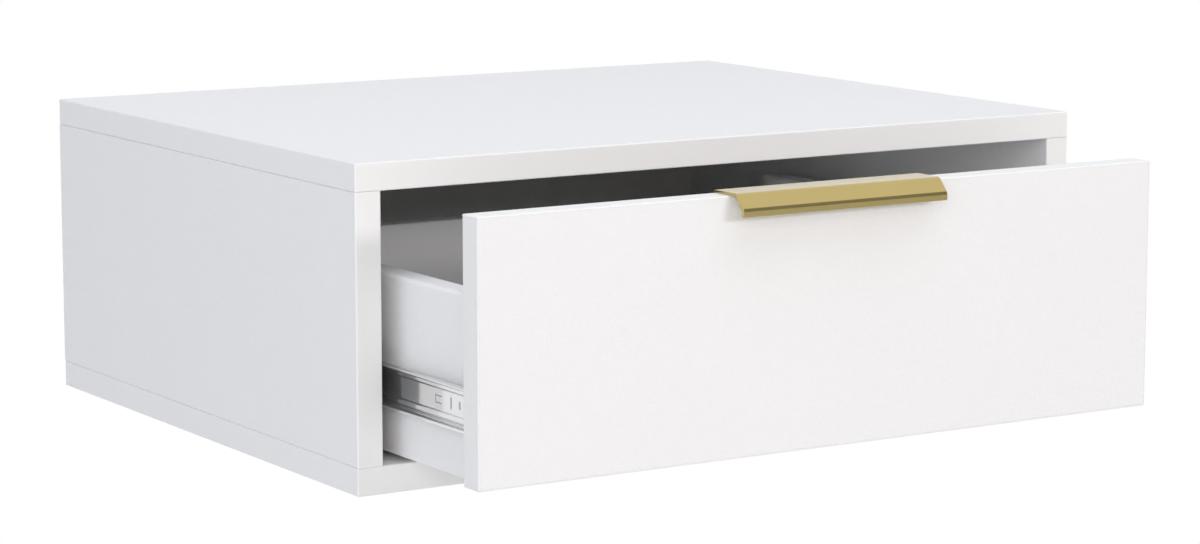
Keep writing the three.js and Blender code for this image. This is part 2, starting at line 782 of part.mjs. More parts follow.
// The lever: a narrow nose in front, the pivot, and a round tail that a finger presses.
function releaseLever() {
  const nose = leverNose / 2;
  const tail = leverWidth / 2;
  const tailCentre = leverNoseStop + leverLength - tail;
  const outline = new THREE.Shape();
  const quarter = Math.PI / 2;
  outline.moveTo(leverNoseStop, -nose);
  outline.lineTo(leverPivot - leverWidth, -nose);
  outline.lineTo(leverPivot, -tail);
  outline.absarc(tailCentre, 0, tail, -quarter, quarter);
  outline.lineTo(leverPivot, tail);
  outline.lineTo(leverPivot - leverWidth, nose);
  outline.lineTo(leverNoseStop + leverNose, nose);
  const bar = extrudeAlongX(outline, leverLow, leverHigh);
  const boreStart = [leverLow - overrun, leverPivot, 0];
  const bore = rod(studRadius + fitGap, leverThickness + 2 * overrun, boreStart, alongX);
  return cut(bar, [bore]);
}

// A ball cage: a bent strip with a row of balls in its upper and in its lower arm.
function ballCage(web, balls, radius, start) {
  const armEnd = balls.x + radius * lipCosine;
  const path = bent(
    [
      new THREE.Vector2(armEnd, -balls.y),
      new THREE.Vector2(web, -balls.y),
      new THREE.Vector2(web, balls.y),
      new THREE.Vector2(armEnd, balls.y),
    ],
    cageBend,
  );
  const strip = extrudeAlongY(sheet(path, cageSheet), start, start + cageLength);
  const pitch = cageLength / ballCount;
  const rows = [-1, 1].flatMap((hand) =>
    Array.from({ length: ballCount }, (_, i) => {
      const ball = new THREE.SphereGeometry(radius, ballSides, ballRings).rotateX(Math.PI / 2);
      return solid(ball.translate(balls.x, start + (i + 1 / 2) * pitch, hand * balls.y));
    }),
  );
  return join(strip, rows);
}

// Assembly
const nightstand = new THREE.Group();
nightstand.add(
  piece("top_panel", topPanel(), whiteBoard),
  piece("bottom_panel", bottomPanel(), whiteBoard),
  piece("back_panel", backPanel(), whiteSheet),
  piece("hanging_rail", hangingRail(), whiteBoard),
);

const drawer = new THREE.Group();
drawer.position.y = -drawerOpen;
drawer.add(
  piece("drawer_front", drawerFront(), whiteBoard),
  piece("drawer_back", drawerBack(), whiteBoard),
  piece("drawer_bottom", drawerBottom(), whiteSheet),
  piece("pull_handle", pull(), brushedGold),
);
nightstand.add(drawer);

function placedGroup(at, turn, ...meshes) {
  const group = new THREE.Group();
  group.position.set(...at);
  group.rotation.x = turn;
  group.add(...meshes);
  return group;
}

// The fixed pieces of one half of the cabinet.
function cabinetHalf(side) {
  const half = new THREE.Group();
  half.add(piece(`${side}_side_panel`, sidePanel(), whiteBoard));
  for (const [row, place, inward] of fittingRows) {
    const socketFloor = along(panelScrewAt(place), alongZ, socketDepth);
    const socket = rod(socketRadius, socketDepth + overrun, socketFloor, againstZ, socketSides);
    const panelScrewBody = cut(screw(panelScrew, panelScrewAt(place), alongZ), [socket]);
    half.add(
      placedGroup(
        topCamAt(place),
        0,
        piece(`${side}_${row}_cam_lock`, camDrum(topCam, boardThickness / 2), castZinc),
        piece(`${side}_${row}_cam_bolt`, camBolt(topCam), zincSteel),
      ),
      piece(`${side}_${row}_dowel`, dowel(topDowel, topDowelAt(place, inward), alongZ), beechWood),
      piece(`${side}_${row}_panel_screw`, panelScrewBody, zincSteel),
    );
  }
  for (const [row, place] of cabinetScrewRows) {
    const body = screw(cabinetMemberScrew, cabinetScrewAt(place), againstX);
    half.add(piece(`${side}_${row}_cabinet_member_screw`, body, zincSteel));
  }
  return half;
}

// The pieces of one half of the drawer.
function drawerHalfGroup(side) {
  const half = new THREE.Group();
  half.add(
    piece(`${side}_drawer_side`, drawerSide(), whiteBoard),
    placedGroup(
      drawerCamAt,
      Math.PI / 2,
      piece(`${side}_drawer_cam_lock`, camDrum(drawerCam, drawerSideThickness / 2), castZinc),
      piece(`${side}_drawer_cam_bolt`, camBolt(drawerCam), zincSteel),
    ),
    piece(`${side}_drawer_dowel`, dowel(drawerDowel, drawerDowelAt, againstY), beechWood),
    piece(`${side}_pull_screw`, screw(pullScrew, pullScrewAt, againstY), zincSteel),
  );
  for (const [level, height] of boxScrewLevels) {
    const body = screw(boxScrew, boxScrewAt(height), alongX);
    half.add(piece(`${side}_${level}_drawer_back_screw`, body, zincSteel));
  }
  for (const [row, place] of drawerScrewRows) {
    const body = screw(drawerMemberScrew, drawerScrewAt(place), alongX);
    half.add(piece(`${side}_${row}_drawer_member_screw`, body, zincSteel));
  }
  return half;
}

// One slide, drawn from the side panel's inner face. With the drawer part open, the drawer member
// runs on the intermediate member alone, and the balls between them follow at half its travel.
function slide(side) {
  const group = new THREE.Group();
  group.position.set(-openingHalf, 0, slideCentre);
  const outerCageStart = slideFront + cageEndGap + stageTravel / 2;
  const innerCageStart = middleFront + memberSheet + cageEndGap + stageTravel / 2;
  const outerCage = ballCage(outerCageWeb, outerBalls, outerBallRadius, outerCageStart);
  const innerCage = ballCage(innerCageWeb, innerBalls, innerBallRadius, innerCageStart);
  const halfway = new THREE.Group();
  halfway.position.y = -drawerOpen / 2;
  halfway.add(piece(`${side}_inner_ball_cage`, innerCage, ballSteel));
  const moving = new THREE.Group();
  moving.position.y = -drawerOpen;
  moving.add(
    piece(`${side}_drawer_member`, drawerMember(), zincSteel),
    piece(`${side}_release_lever`, releaseLever(), blackPlastic),
  );
  group.add(
    piece(`${side}_cabinet_member`, cabinetMember(), zincSteel),
    piece(`${side}_outer_ball_cage`, outerCage, ballSteel),
    piece(`${side}_intermediate_member`, middleMember(), zincSteel),
    halfway,
    moving,
  );
  return group;
}

for (const [side, mirror] of [["left", 1], ["right", -1]]) {
  const fixedHalf = new THREE.Group();
  fixedHalf.scale.x = mirror;
  fixedHalf.add(cabinetHalf(side), slide(side));
  nightstand.add(fixedHalf);
  const movingHalf = new THREE.Group();
  movingHalf.scale.x = mirror;
  movingHalf.add(drawerHalfGroup(side));
  drawer.add(movingHalf);
}

export default nightstand;
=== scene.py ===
# %% [markdown]
# # A floating nightstand with one drawer
#
# This lesson dresses a wall-hung bedside cabinet: white-faced boards, a drawer on telescopic
# ball-bearing slides and a folded gold pull. The measured solids are loaded as a fixed frame.
# Every piece made here takes its place from them, so nothing has to be fitted by eye. Lengths are
# in metres, X is right, Y is back to the wall, Z is up.

import json
import math

import bmesh
import bpy
from mathutils import Matrix, Vector


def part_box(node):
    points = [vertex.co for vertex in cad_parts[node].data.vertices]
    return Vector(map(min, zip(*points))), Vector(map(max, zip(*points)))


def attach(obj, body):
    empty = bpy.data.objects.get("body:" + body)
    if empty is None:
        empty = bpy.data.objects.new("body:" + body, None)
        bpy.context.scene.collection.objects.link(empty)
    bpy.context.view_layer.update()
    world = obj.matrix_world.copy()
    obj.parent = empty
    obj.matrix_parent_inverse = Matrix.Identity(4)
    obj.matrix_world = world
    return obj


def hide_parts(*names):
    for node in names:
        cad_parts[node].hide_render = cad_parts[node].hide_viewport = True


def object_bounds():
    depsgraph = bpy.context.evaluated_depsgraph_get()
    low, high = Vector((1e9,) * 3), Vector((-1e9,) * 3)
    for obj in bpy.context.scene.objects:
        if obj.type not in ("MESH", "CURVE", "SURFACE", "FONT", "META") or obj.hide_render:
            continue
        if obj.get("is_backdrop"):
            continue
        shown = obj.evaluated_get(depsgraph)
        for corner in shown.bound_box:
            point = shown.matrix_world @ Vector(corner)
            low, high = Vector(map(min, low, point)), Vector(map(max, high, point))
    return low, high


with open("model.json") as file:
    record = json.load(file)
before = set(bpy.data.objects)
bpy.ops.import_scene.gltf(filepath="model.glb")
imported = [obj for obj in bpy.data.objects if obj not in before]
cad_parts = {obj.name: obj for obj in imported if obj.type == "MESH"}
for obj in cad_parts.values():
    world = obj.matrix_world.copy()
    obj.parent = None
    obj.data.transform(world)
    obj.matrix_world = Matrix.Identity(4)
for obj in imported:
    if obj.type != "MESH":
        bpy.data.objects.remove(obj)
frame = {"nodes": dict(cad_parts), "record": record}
solid_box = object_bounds()
scene = bpy.context.scene
mm = 0.001

# %% [markdown]
# ## The camera
#
# The picture was taken from the front left, a little above the cabinet, through a long lens. Its
# place and turn come from matching the corners of the boards, so the scene's edges fall on the
# picture's edges.

# %% Camera
camera_data = bpy.data.cameras.new("camera")
camera_data.sensor_width = 36
camera_data.lens = 106.39
camera = bpy.data.objects.new("camera", camera_data)
camera.location = (-1.1572, -2.0989, 0.3296)
camera.rotation_euler = (math.pi / 2 - 0.1530, 0, -0.5600)
scene.collection.objects.link(camera)
scene.camera = camera
print("camera:", round(camera_data.lens, 2), "mm lens")

# %% [markdown]
# ## A wrapper for shader maths
#
# Node trees are long-winded to build by hand. A small class holds one socket, so that sums can be
# written as sums: `1 - mask * 0.3` adds its two Math nodes. One method, `node`, adds any other
# node.

# %% Shader wrapper
class Wire:
    """One socket of a node tree, for use in expressions."""

    def __init__(self, tree, socket=None):
        self.tree = tree
        self.socket = socket

    def node(self, kind, sockets=None, output=0, stops=None, **settings):
        made = self.tree.nodes.new("ShaderNode" + kind)
        for name, value in settings.items():
            setattr(made, name, value)
        for place, colour in stops or []:
            made.color_ramp.elements.new(place).color = (*colour, 1)
        if stops:
            made.color_ramp.elements.remove(made.color_ramp.elements[0])
            made.color_ramp.elements.remove(made.color_ramp.elements[-1])
        for name, value in (sockets or {}).items():
            if isinstance(value, Wire):
                self.tree.links.new(value.socket, made.inputs[name])
            else:
                made.inputs[name].default_value = value
        return Wire(self.tree, made.outputs[output])

    def maths(self, operation, left, right=0.0, clamp=False):
        return self.node("Math", {0: left, 1: right}, operation=operation, use_clamp=clamp)

    def __add__(self, other):
        return self.maths("ADD", self, other)

    __radd__ = __add__

    def __sub__(self, other):
        return self.maths("SUBTRACT", self, other)

    def __rsub__(self, other):
        return self.maths("SUBTRACT", other, self)

    def __mul__(self, other):
        return self.maths("MULTIPLY", self, other)

    __rmul__ = __mul__

    def between(self, low, high):
        """0 below low, 1 above high and a smooth step between them."""
        sockets = {"Value": self, "From Min": low, "From Max": high}
        return self.node("MapRange", sockets, interpolation_type="SMOOTHSTEP")

    def noise(self, scale, detail=2.0, roughness=0.5):
        """Cloudy noise that is read at this place."""
        sockets = {"Vector": self, "Scale": scale, "Detail": detail, "Roughness": roughness}
        return self.node("TexNoise", sockets, output="Fac")

    def stretched(self, x, y, z):
        """This place, with each axis scaled."""
        return self.node("VectorMath", {0: self, 1: (x, y, z)}, operation="MULTIPLY")

    def mixed(self, first, second):
        """A blend of two colours with this as its share."""
        sockets = {"Factor": self, "A": first, "B": second}
        made = self.node("Mix", None, data_type="RGBA", output=2)
        mix = made.socket.node
        for name, slot in (("Factor", 0), ("A", 6), ("B", 7)):
            value = sockets[name]
            if isinstance(value, Wire):
                self.tree.links.new(value.socket, mix.inputs[slot])
            else:
                mix.inputs[slot].default_value = value if slot == 0 else (*value, 1)
        return made


def new_finish(name, **constants):
    """A material, its shader node and the object coordinates that its pattern reads."""
    finish = bpy.data.materials.new(name)
    finish.use_nodes = True
    shader = finish.node_tree.nodes["Principled BSDF"]
    for socket, value in constants.items():
        shader.inputs[socket.replace("_", " ")].default_value = value
    place = Wire(finish.node_tree).node("TexCoord", output="Object")
    return finish, shader, place


def feed(shader, **wires):
    for socket, wire in wires.items():
        wire.tree.links.new(wire.socket, shader.inputs[socket.replace("_", " ")])


def bumped(place, height, depth, strength=1.0):
    """A Bump node that raises the surface by up to a depth in metres."""
    return place.node("Bump", {"Strength": strength, "Distance": depth, "Height": height})


# %% [markdown]
# ## Studio light
#
# The picture is a plain white product shot: large cool lights above and on the left, warmer ones in
# front. The front lamp is wide and flat, and low enough to shine over the drawer front on the
# drawer's back. The world is white where a lens or a reflection looks at it, and much weaker as a
# lamp, so that the inside of the cabinet keeps its shade. A ray that has bounced off a dull surface
# sees the weak world too, which Diffuse Depth tells. Two flags, as photographers call such cards,
# stand in front, and only reflections show them. The dark one gives the lower fold of the gold pull
# its dark line, and the pale one gives its lip a darker gold.

# %% Lamps
cabinet_middle = Vector((0, -0.2, 0))


def turned_to(target, place, axis):
    """The turn that points an axis of an object at a target."""
    return (Vector(target) - Vector(place)).to_track_quat(axis, "Y").to_euler()


def soft_lamp(name, place, width, height, power, colour):
    lamp = bpy.data.lights.new(name, "AREA")
    lamp.shape = "RECTANGLE"
    lamp.size = width
    lamp.size_y = height
    lamp.energy = power
    lamp.color = colour
    holder = bpy.data.objects.new(name, lamp)
    holder.location = place
    holder.visible_glossy = False
    holder.rotation_euler = turned_to(cabinet_middle, place, "-Z")
    scene.collection.objects.link(holder)


soft_lamp("top_lamp", (0.1, -0.65, 2.6), 3.0, 3.0, 40, (0.86, 0.91, 1.0))
soft_lamp("left_lamp", (-2.8, -1.2, 0.6), 2.6, 2.6, 22.5, (0.81, 0.88, 1.0))
soft_lamp("front_left_lamp", (-2.2, -3.5, 1.3), 2.0, 2.0, 32, (1.0, 0.90, 0.80))
soft_lamp("front_lamp", (0.8, -3.2, 0.78), 1.2, 0.36, 21.5, (1.0, 0.95, 0.92))

# %% Flags
pull_fold = Vector((0, -0.4, 0.07))
flags = [
    ("dark_flag", (1.0, -2.0, 0.8), (1.6, 1.8), 0.46),
    ("pale_flag", (1.1, -2.1, -0.22), (1.6, 0.34), 0.90),
]
for name, place, (width, height), tone in flags:
    flag_shape = bmesh.new()
    bmesh.ops.create_grid(flag_shape, x_segments=1, y_segments=1, size=0.5)
    flag_mesh = bpy.data.meshes.new(name)
    flag_shape.to_mesh(flag_mesh)
    flag_shape.free()
    flag = bpy.data.objects.new(name, flag_mesh)
    flag.location = place
    flag.scale = (width, height, 1)
    flag.rotation_euler = turned_to(pull_fold, place, "Z")
    flag.visible_camera = False
    flag.visible_diffuse = False
    flag.visible_shadow = False
    scene.collection.objects.link(flag)
    flag_paint, flag_shader, flag_place = new_finish(name + "_cloth", Roughness=0.9)
    feed(flag_shader, Base_Color=flag_place.noise(40).mixed((tone,) * 3, (tone + 0.05,) * 3))
    flag_mesh.materials.append(flag_paint)
    flag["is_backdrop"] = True
print("flags:", len(flags))


# %% World
def looked_at(wire):
    """1 for a ray from the lens, a reflection or glass, 0 for light and after a dull bounce."""
    path = wire.node("LightPath")
    rays = path.socket.node.outputs
    seen = Wire(wire.tree, rays["Is Camera Ray"]) + Wire(wire.tree, rays["Is Glossy Ray"])
    seen = seen + Wire(wire.tree, rays["Is Transmission Ray"])
    return (seen - Wire(wire.tree, rays["Diffuse Depth"])).between(0.4, 0.6)


fill_level = 0.34
world = bpy.data.worlds.new("studio")
world.use_nodes = True
scene.world = world
surround = Wire(world.node_tree)
background = world.node_tree.nodes["Background"]
background.inputs["Color"].default_value = (1, 1, 1, 1)
strength = fill_level + looked_at(surround) * (1 - fill_level)
surround.tree.links.new(strength.socket, background.inputs["Strength"])
scene.view_settings.view_transform = "Standard"
print("world as a lamp:", fill_level)

# %% [markdown]
# ## The floor
#
# The cabinet hangs above a pale floor. Close to the cabinet the floor takes its shadow, and
# further out it fades to the white of the background, so that no horizon shows behind the cabinet.

# %% Floor
floor_shape = bmesh.new()
floor_height = -0.5
bmesh.ops.create_grid(floor_shape, x_segments=1, y_segments=1, size=9)
bmesh.ops.translate(floor_shape, vec=(0, 0, floor_height), verts=floor_shape.verts)
floor_mesh = bpy.data.meshes.new("floor")
floor_shape.to_mesh(floor_mesh)
floor_shape.free()
floor = bpy.data.objects.new("floor", floor_mesh)
scene.collection.objects.link(floor)
floor_paint, floor_shader, floor_place = new_finish("pale_floor", Roughness=0.9)
floor_shader.inputs["Base Color"].default_value = (0.82, 0.82, 0.82, 1)
floor_shader.inputs["Specular IOR Level"].default_value = 0.1
floor_out = floor_paint.node_tree.nodes["Material Output"]
reach = floor_place.node("VectorMath", {0: floor_place}, operation="LENGTH", output="Value")
white = floor_place.node("Emission", {"Color": (1, 1, 1, 1), "Strength": 1.0})
share = looked_at(floor_place) * (0.45 + 0.55 * reach.between(0.4, 1.15))
shaded = Wire(floor_place.tree, floor_shader.outputs[0])
floor_mix = floor_place.node("MixShader", {0: share, 1: shaded, 2: white})
floor_place.tree.links.new(floor_mix.socket, floor_out.inputs["Surface"])
floor_mesh.materials.append(floor_paint)
floor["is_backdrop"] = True
print("floor at", floor_height, "m")

# %% [markdown]
# ## Finishes of the boards
#
# The boards are chipboard faced with white melamine. The facing isn't perfectly smooth: it has a
# very fine orange-peel grain, which breaks up its dull reflections. The edge strips are plastic, a
# touch smoother. At the rear the boards are left raw, and the pressed chips show.

# %% White laminate
white_laminate, shader, place = new_finish("white_laminate", Roughness=0.5)
shader.inputs["Specular IOR Level"].default_value = 0.4
cloud = place.noise(14, 3)
grain = place.noise(900, 2, 0.6)
peel = place.noise(420, 1)
speckle = (cloud * 0.2 + grain * 0.8).between(0.34, 0.66)
feed(shader, Base_Color=speckle.mixed((0.904, 0.906, 0.909), (0.930, 0.931, 0.932)))
feed(shader, Roughness=0.44 + cloud * 0.08 + grain * 0.08)
feed(shader, Normal=bumped(place, peel * 0.5 + grain * 0.5, 0.5 * mm, 0.8))

# %% Edge band
edge_band_painted_light, shader, place = new_finish("edge_band_painted_light", Roughness=0.42)
shader.inputs["Specular IOR Level"].default_value = 0.4
cloud = place.noise(20, 2)
grain = place.noise(1200, 2)
# Painted light: the strips' white is brighter than the faces' white, to make up for light that the
# front strips lack.
feed(shader, Base_Color=cloud.mixed((0.945, 0.940, 0.935), (0.960, 0.955, 0.950)))
feed(shader, Roughness=0.38 + grain * 0.1)
feed(shader, Normal=bumped(place, grain, 0.03 * mm, 0.4))

# %% Raw chipboard edge
raw_chipboard, shader, place = new_finish("raw_chipboard", Roughness=0.85)
pressed = place.stretched(1, 1, 2.2)
chips = place.node("TexVoronoi", {"Vector": pressed, "Scale": 420}, output="Color")
spread = place.node("SeparateColor", {"Color": chips}, output="Red")
dust = place.noise(1500, 3)
mottle = spread * 0.7 + dust * 0.3
wood = mottle.node(
    "ValToRGB",
    {"Fac": mottle},
    output="Color",
    stops=[(0.1, (0.30, 0.20, 0.115)), (0.5, (0.47, 0.34, 0.205)), (0.9, (0.62, 0.48, 0.31))],
)
feed(shader, Base_Color=wood)
feed(shader, Roughness=0.75 + dust * 0.2)
feed(shader, Normal=bumped(place, mottle, 0.25 * mm, 0.8))

# %% White backing sheet
white_backing, shader, place = new_finish("white_backing", Roughness=0.6)
fibre = place.noise(1100, 4, 0.65)
cloud = place.noise(9, 3)
feed(shader, Base_Color=(cloud * 0.6 + fibre * 0.4).mixed((0.87, 0.87, 0.865), (0.91, 0.91, 0.905)))
feed(shader, Roughness=0.5 + fibre * 0.2)
feed(shader, Normal=bumped(place, fibre, 0.08 * mm, 0.6))

# %% Beech dowel
beech, shader, place = new_finish("beech", Roughness=0.75)
pores = place.stretched(1, 1, 0.12).noise(1500, 3)
flecks = place.noise(260, 2)
feed(shader, Base_Color=(pores * 0.6 + flecks * 0.4).mixed((0.42, 0.26, 0.13), (0.68, 0.50, 0.31)))
feed(shader, Roughness=0.65 + pores * 0.2)
feed(shader, Normal=bumped(place, pores, 0.1 * mm))

# %% [markdown]
# ## Finishes of the metal and plastic
#
# The pull is brushed along its length and anodised gold: fine scratches run along X. The slides
# are rolled from zinc-plated strip, nearly a mirror, with faint rolling lines along Y and cloudy
# plating. Cam drums are cast, so they are dull and grainy.

# %% Brushed gold
lacquered = {"Metallic": 1.0, "Coat_Weight": 0.4, "Coat_Roughness": 0.12}
brushed_gold, shader, place = new_finish("brushed_gold", **lacquered)
brush = place.stretched(0.02, 1, 1).noise(3800, 3, 0.7)
fine = place.noise(2600, 2, 0.6)
cloud = place.noise(45, 2)
streaks = (brush * 0.5 + cloud * 0.5).between(0.1, 0.9)
feed(shader, Base_Color=streaks.mixed((0.525, 0.412, 0.158), (0.555, 0.438, 0.172)))
feed(shader, Roughness=0.15 + brush * 0.03 + fine * 0.03 + cloud * 0.03)
feed(shader, Normal=bumped(place, brush * 0.25 + fine * 0.75, 0.006 * mm, 0.2))

# %% Zinc-plated steel
zinc_steel, shader, place = new_finish("zinc_steel", Metallic=0.85, Roughness=0.12)
rolled = place.stretched(1, 0.03, 1).noise(2600, 3, 0.6)
plating = place.noise(60, 3)
spots = place.noise(520, 2)
bloom = plating * 0.6 + spots * 0.4
feed(shader, Base_Color=bloom.mixed((0.74, 0.745, 0.755), (0.84, 0.842, 0.845)))
feed(shader, Roughness=0.05 + rolled * 0.05 + plating * 0.05)
feed(shader, Normal=bumped(place, rolled, 0.006 * mm, 0.25))

# %% Ball steel
ball_steel, shader, place = new_finish("ball_steel", Metallic=1.0, Roughness=0.14)
oil = place.noise(150, 3)
feed(shader, Base_Color=oil.mixed((0.55, 0.56, 0.58), (0.68, 0.69, 0.70)))
feed(shader, Roughness=0.08 + oil * 0.14)
feed(shader, Normal=bumped(place, place.noise(1800, 2), 0.01 * mm, 0.4))

# %% Cast zinc
cast_zinc, shader, place = new_finish("cast_zinc", Metallic=1.0, Roughness=0.5)
cast = place.noise(1500, 3, 0.7)
stain = place.noise(120, 2)
feed(shader, Base_Color=(stain * 0.5 + cast * 0.5).mixed((0.34, 0.345, 0.35), (0.52, 0.525, 0.53)))
feed(shader, Roughness=0.42 + cast * 0.2)
feed(shader, Normal=bumped(place, cast, 0.05 * mm))

# %% Black plastic
black_plastic, shader, place = new_finish("black_plastic", Roughness=0.5)
texture = place.noise(1600, 2)
feed(shader, Base_Color=texture.mixed((0.010, 0.010, 0.011), (0.028, 0.028, 0.030)))
feed(shader, Roughness=0.45 + texture * 0.15)
feed(shader, Normal=bumped(place, texture, 0.05 * mm, 0.7))

finishes = {
    "white_laminate": white_laminate,
    "white_backing": white_backing,
    "beech": beech,
    "brushed_gold": brushed_gold,
    "zinc_steel": zinc_steel,
    "ball_steel": ball_steel,
    "cast_zinc": cast_zinc,
    "black_plastic": black_plastic,
}
print("finishes:", len(finishes) + 2)

# %% [markdown]
# ## Dressing the solids that stay
#
# Pieces whose measured shape is already right, such as dowels inside the boards, keep their solids
# and only take a finish. The record says which finish each node has.

# %% Dress every node
for subpart in frame["record"]["subparts"]:
    node = frame["nodes"][subpart["node"]]
    node.data.materials.clear()
    node.data.materials.append(finishes[subpart["material_slot"]])

# %% [markdown]
# ## Helpers for shapes
#
# A piece starts as a bmesh, where operators cut, bevel and extrude it. `show` turns it into an
# object that rides on a body of the frame and stands for the solid that it replaces. Most pieces
# come in pairs, so a shape is drawn for the left side and mirrored for the right.

# %% Boxes, slices and bevels
def block(low, high):
    """A box between two corners."""
    shape = bmesh.new()
    corners = bmesh.ops.create_cube(shape, size=1)["verts"]
    bmesh.ops.scale(shape, vec=Vector(high) - Vector(low), verts=corners)
    bmesh.ops.translate(shape, vec=(Vector(high) + Vector(low)) / 2, verts=corners)
    return shape


def soften(shape, edges, width, steps=3):
    """Rounds edges to a width."""
    settings = {"offset_type": "OFFSET", "profile": 0.5, "affect": "EDGES", "material": -1}
    bmesh.ops.bevel(shape, geom=list(edges), offset=width, segments=steps, **settings)


def lying_at(items, axis, value):
    """The edges or faces that lie wholly at one value of an axis."""
    return [item for item in items if all(abs(v.co[axis] - value) < 1e-5 for v in item.verts)]


def running_along(edges, axis):
    """The edges whose ends differ only along one axis."""
    others = [i for i in range(3) if i != axis]
    ends = [(edge, edge.verts[0].co - edge.verts[1].co) for edge in edges]
    return [edge for edge, way in ends if all(abs(way[i]) < 1e-6 for i in others)]


def slice_at(shape, axis, value):
    """Cuts every face along a plane, with nothing removed."""
    normal = Vector([float(i == axis) for i in range(3)])
    everything = list(shape.verts) + list(shape.edges) + list(shape.faces)
    plane = {"plane_co": normal * value, "plane_no": normal}
    bmesh.ops.bisect_plane(shape, geom=everything, dist=1e-7, **plane)


def new_verts(made):
    return [item for item in made if isinstance(item, bmesh.types.BMVert)]


def new_edges(made):
    return [item for item in made if isinstance(item, bmesh.types.BMEdge)]


def raise_faces(shape, faces, move):
    """Extrudes faces by a vector."""
    made = bmesh.ops.extrude_face_region(shape, geom=list(faces))["geom"]
    bmesh.ops.delete(shape, geom=[face for face in faces if face.is_valid], context="FACES")
    bmesh.ops.translate(shape, vec=move, verts=new_verts(made))


def mirrored(shape):
    """The shape's mirror image on the other side of the middle plane."""
    bmesh.ops.scale(shape, vec=(-1, 1, 1), verts=shape.verts)
    return shape


def add_shape(shape, other):
    """Adds a shape's shells to another's, unwelded."""
    carrier = bpy.data.meshes.new("carrier")
    other.to_mesh(carrier)
    other.free()
    shape.from_mesh(carrier)
    bpy.data.meshes.remove(carrier)
    return shape


# %% Loops, walls and holes
def once(items):
    """The items in their order, each of them once."""
    return list(dict.fromkeys(items))


def ring(shape, centre, normal, radius, stretch=(0, 0, 0), sides=32):
    """A closed loop of edges: a circle, or a slot when it is stretched along an axis."""
    turn = Vector(normal).to_track_quat("Z", "Y").to_matrix().to_4x4()
    matrix = Matrix.Translation(centre) @ turn
    settings = {"cap_ends": False, "segments": sides, "matrix": matrix}
    verts = bmesh.ops.create_circle(shape, radius=radius, **settings)["verts"]
    for vert in verts:
        side = (vert.co - Vector(centre)).dot(Vector(stretch))
        vert.co += Vector(stretch) / 2 * (1 if side > 0 else -1)
    return once(edge for vert in verts for edge in vert.link_edges)


def cross(shape, centre, normal, reach, width):
    """A closed loop of edges in the shape of a screwdriver's cross."""
    centre = Vector(centre)
    square = ring(shape, centre, normal, width / math.sqrt(2), sides=4)
    for edge in square:
        out = (edge.verts[0].co + edge.verts[1].co) / 2 - centre
        out = out.normalized() * (reach - width / 2)
        made = bmesh.ops.extrude_edge_only(shape, edges=[edge])["geom"]
        bmesh.ops.translate(shape, vec=out, verts=new_verts(made))
    arms = once(face for edge in square for face in edge.link_faces)
    borders = once(edge for face in arms for edge in face.edges)
    outline = [edge for edge in borders if edge not in square]
    bmesh.ops.delete(shape, geom=arms, context="FACES_ONLY")
    bmesh.ops.delete(shape, geom=square, context="EDGES")
    return outline


def wall_down(shape, loop, down, steps, close=True):
    """Extrudes a loop step by step. A step is a depth and how much it scales the loop."""
    for depth, scale in steps:
        made = bmesh.ops.extrude_edge_only(shape, edges=loop)["geom"]
        verts = new_verts(made)
        middle = sum((vert.co for vert in verts), Vector()) / len(verts)
        bmesh.ops.scale(shape, vec=(scale,) * 3, verts=verts, space=Matrix.Translation(-middle))
        bmesh.ops.translate(shape, vec=Vector(down) * depth, verts=verts)
        loop = [edge for edge in new_edges(made) if set(edge.verts) <= set(verts)]
    if close:
        bmesh.ops.contextual_create(shape, geom=loop)
    return loop


def pierce(shape, face, holes):
    """Cuts holes in a flat face. A hole is a loop of edges and its wall's steps, or none."""
    normal = face.normal.copy()
    rim = list(face.edges)
    loops = [edge for loop, _ in holes for edge in loop]
    bmesh.ops.delete(shape, geom=[face], context="FACES_ONLY")
    settings = {"use_beauty": True, "use_dissolve": False, "normal": normal}
    bmesh.ops.triangle_fill(shape, edges=rim + loops, **settings)
    for loop, steps in holes:
        if steps:
            wall_down(shape, loop, -normal, steps)


def face_holding(shape, point):
    """The flat face that holds a point."""
    point = Vector(point)
    for face in shape.faces:
        off = (face.calc_center_median() - point).dot(face.normal)
        if abs(off) < 1e-5 and bmesh.geometry.intersect_face_point(face, point):
            return face
    raise ValueError("no face holds this point")


def bore_through(shape, first, second, radius, sides=32):
    """A round hole from a point on one face to the point across it on another."""
    down = Vector(second) - Vector(first)
    loops = []
    for point in (first, second):
        face = face_holding(shape, point)
        loop = ring(shape, point, down, radius, sides=sides)
        pierce(shape, face, [(loop, [])])
        loops += loop
    bmesh.ops.bridge_loops(shape, edges=loops)


def middle_of(node):
    low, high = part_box(node)
    return (low + high) / 2


# %% Show a piece
def show(name, shape, body, slot, paints=None, replaces=(), wall=0, rounding=0, steps=2, angle=40):
    """Makes a bmesh a piece of the scene."""
    bmesh.ops.recalc_face_normals(shape, faces=shape.faces)
    gaps = sum(1 for edge in shape.edges if not edge.is_manifold)
    mesh = bpy.data.meshes.new(name)
    for face in shape.faces:
        face.smooth = True
    shape.to_mesh(mesh)
    shape.free()
    for paint in paints or [finishes[slot]]:
        mesh.materials.append(paint)
    piece = bpy.data.objects.new(name, mesh)
    scene.collection.objects.link(piece)
    if wall:
        skin = piece.modifiers.new("wall", "SOLIDIFY")
        skin.thickness = wall
        skin.offset = 0
        skin.use_even_offset = True
    if rounding:
        edge = piece.modifiers.new("rounding", "BEVEL")
        edge.width = rounding
        edge.segments = steps
        edge.limit_method = "ANGLE"
        edge.angle_limit = math.radians(angle)
    else:
        mesh.set_sharp_from_angle(angle=math.radians(angle))
    weigh = piece.modifiers.new("face weight", "WEIGHTED_NORMAL")
    weigh.keep_sharp = True
    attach(piece, body)
    if replaces:
        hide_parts(*replaces)
    if gaps and not wall:
        print("open edges:", name, gaps)
    return piece
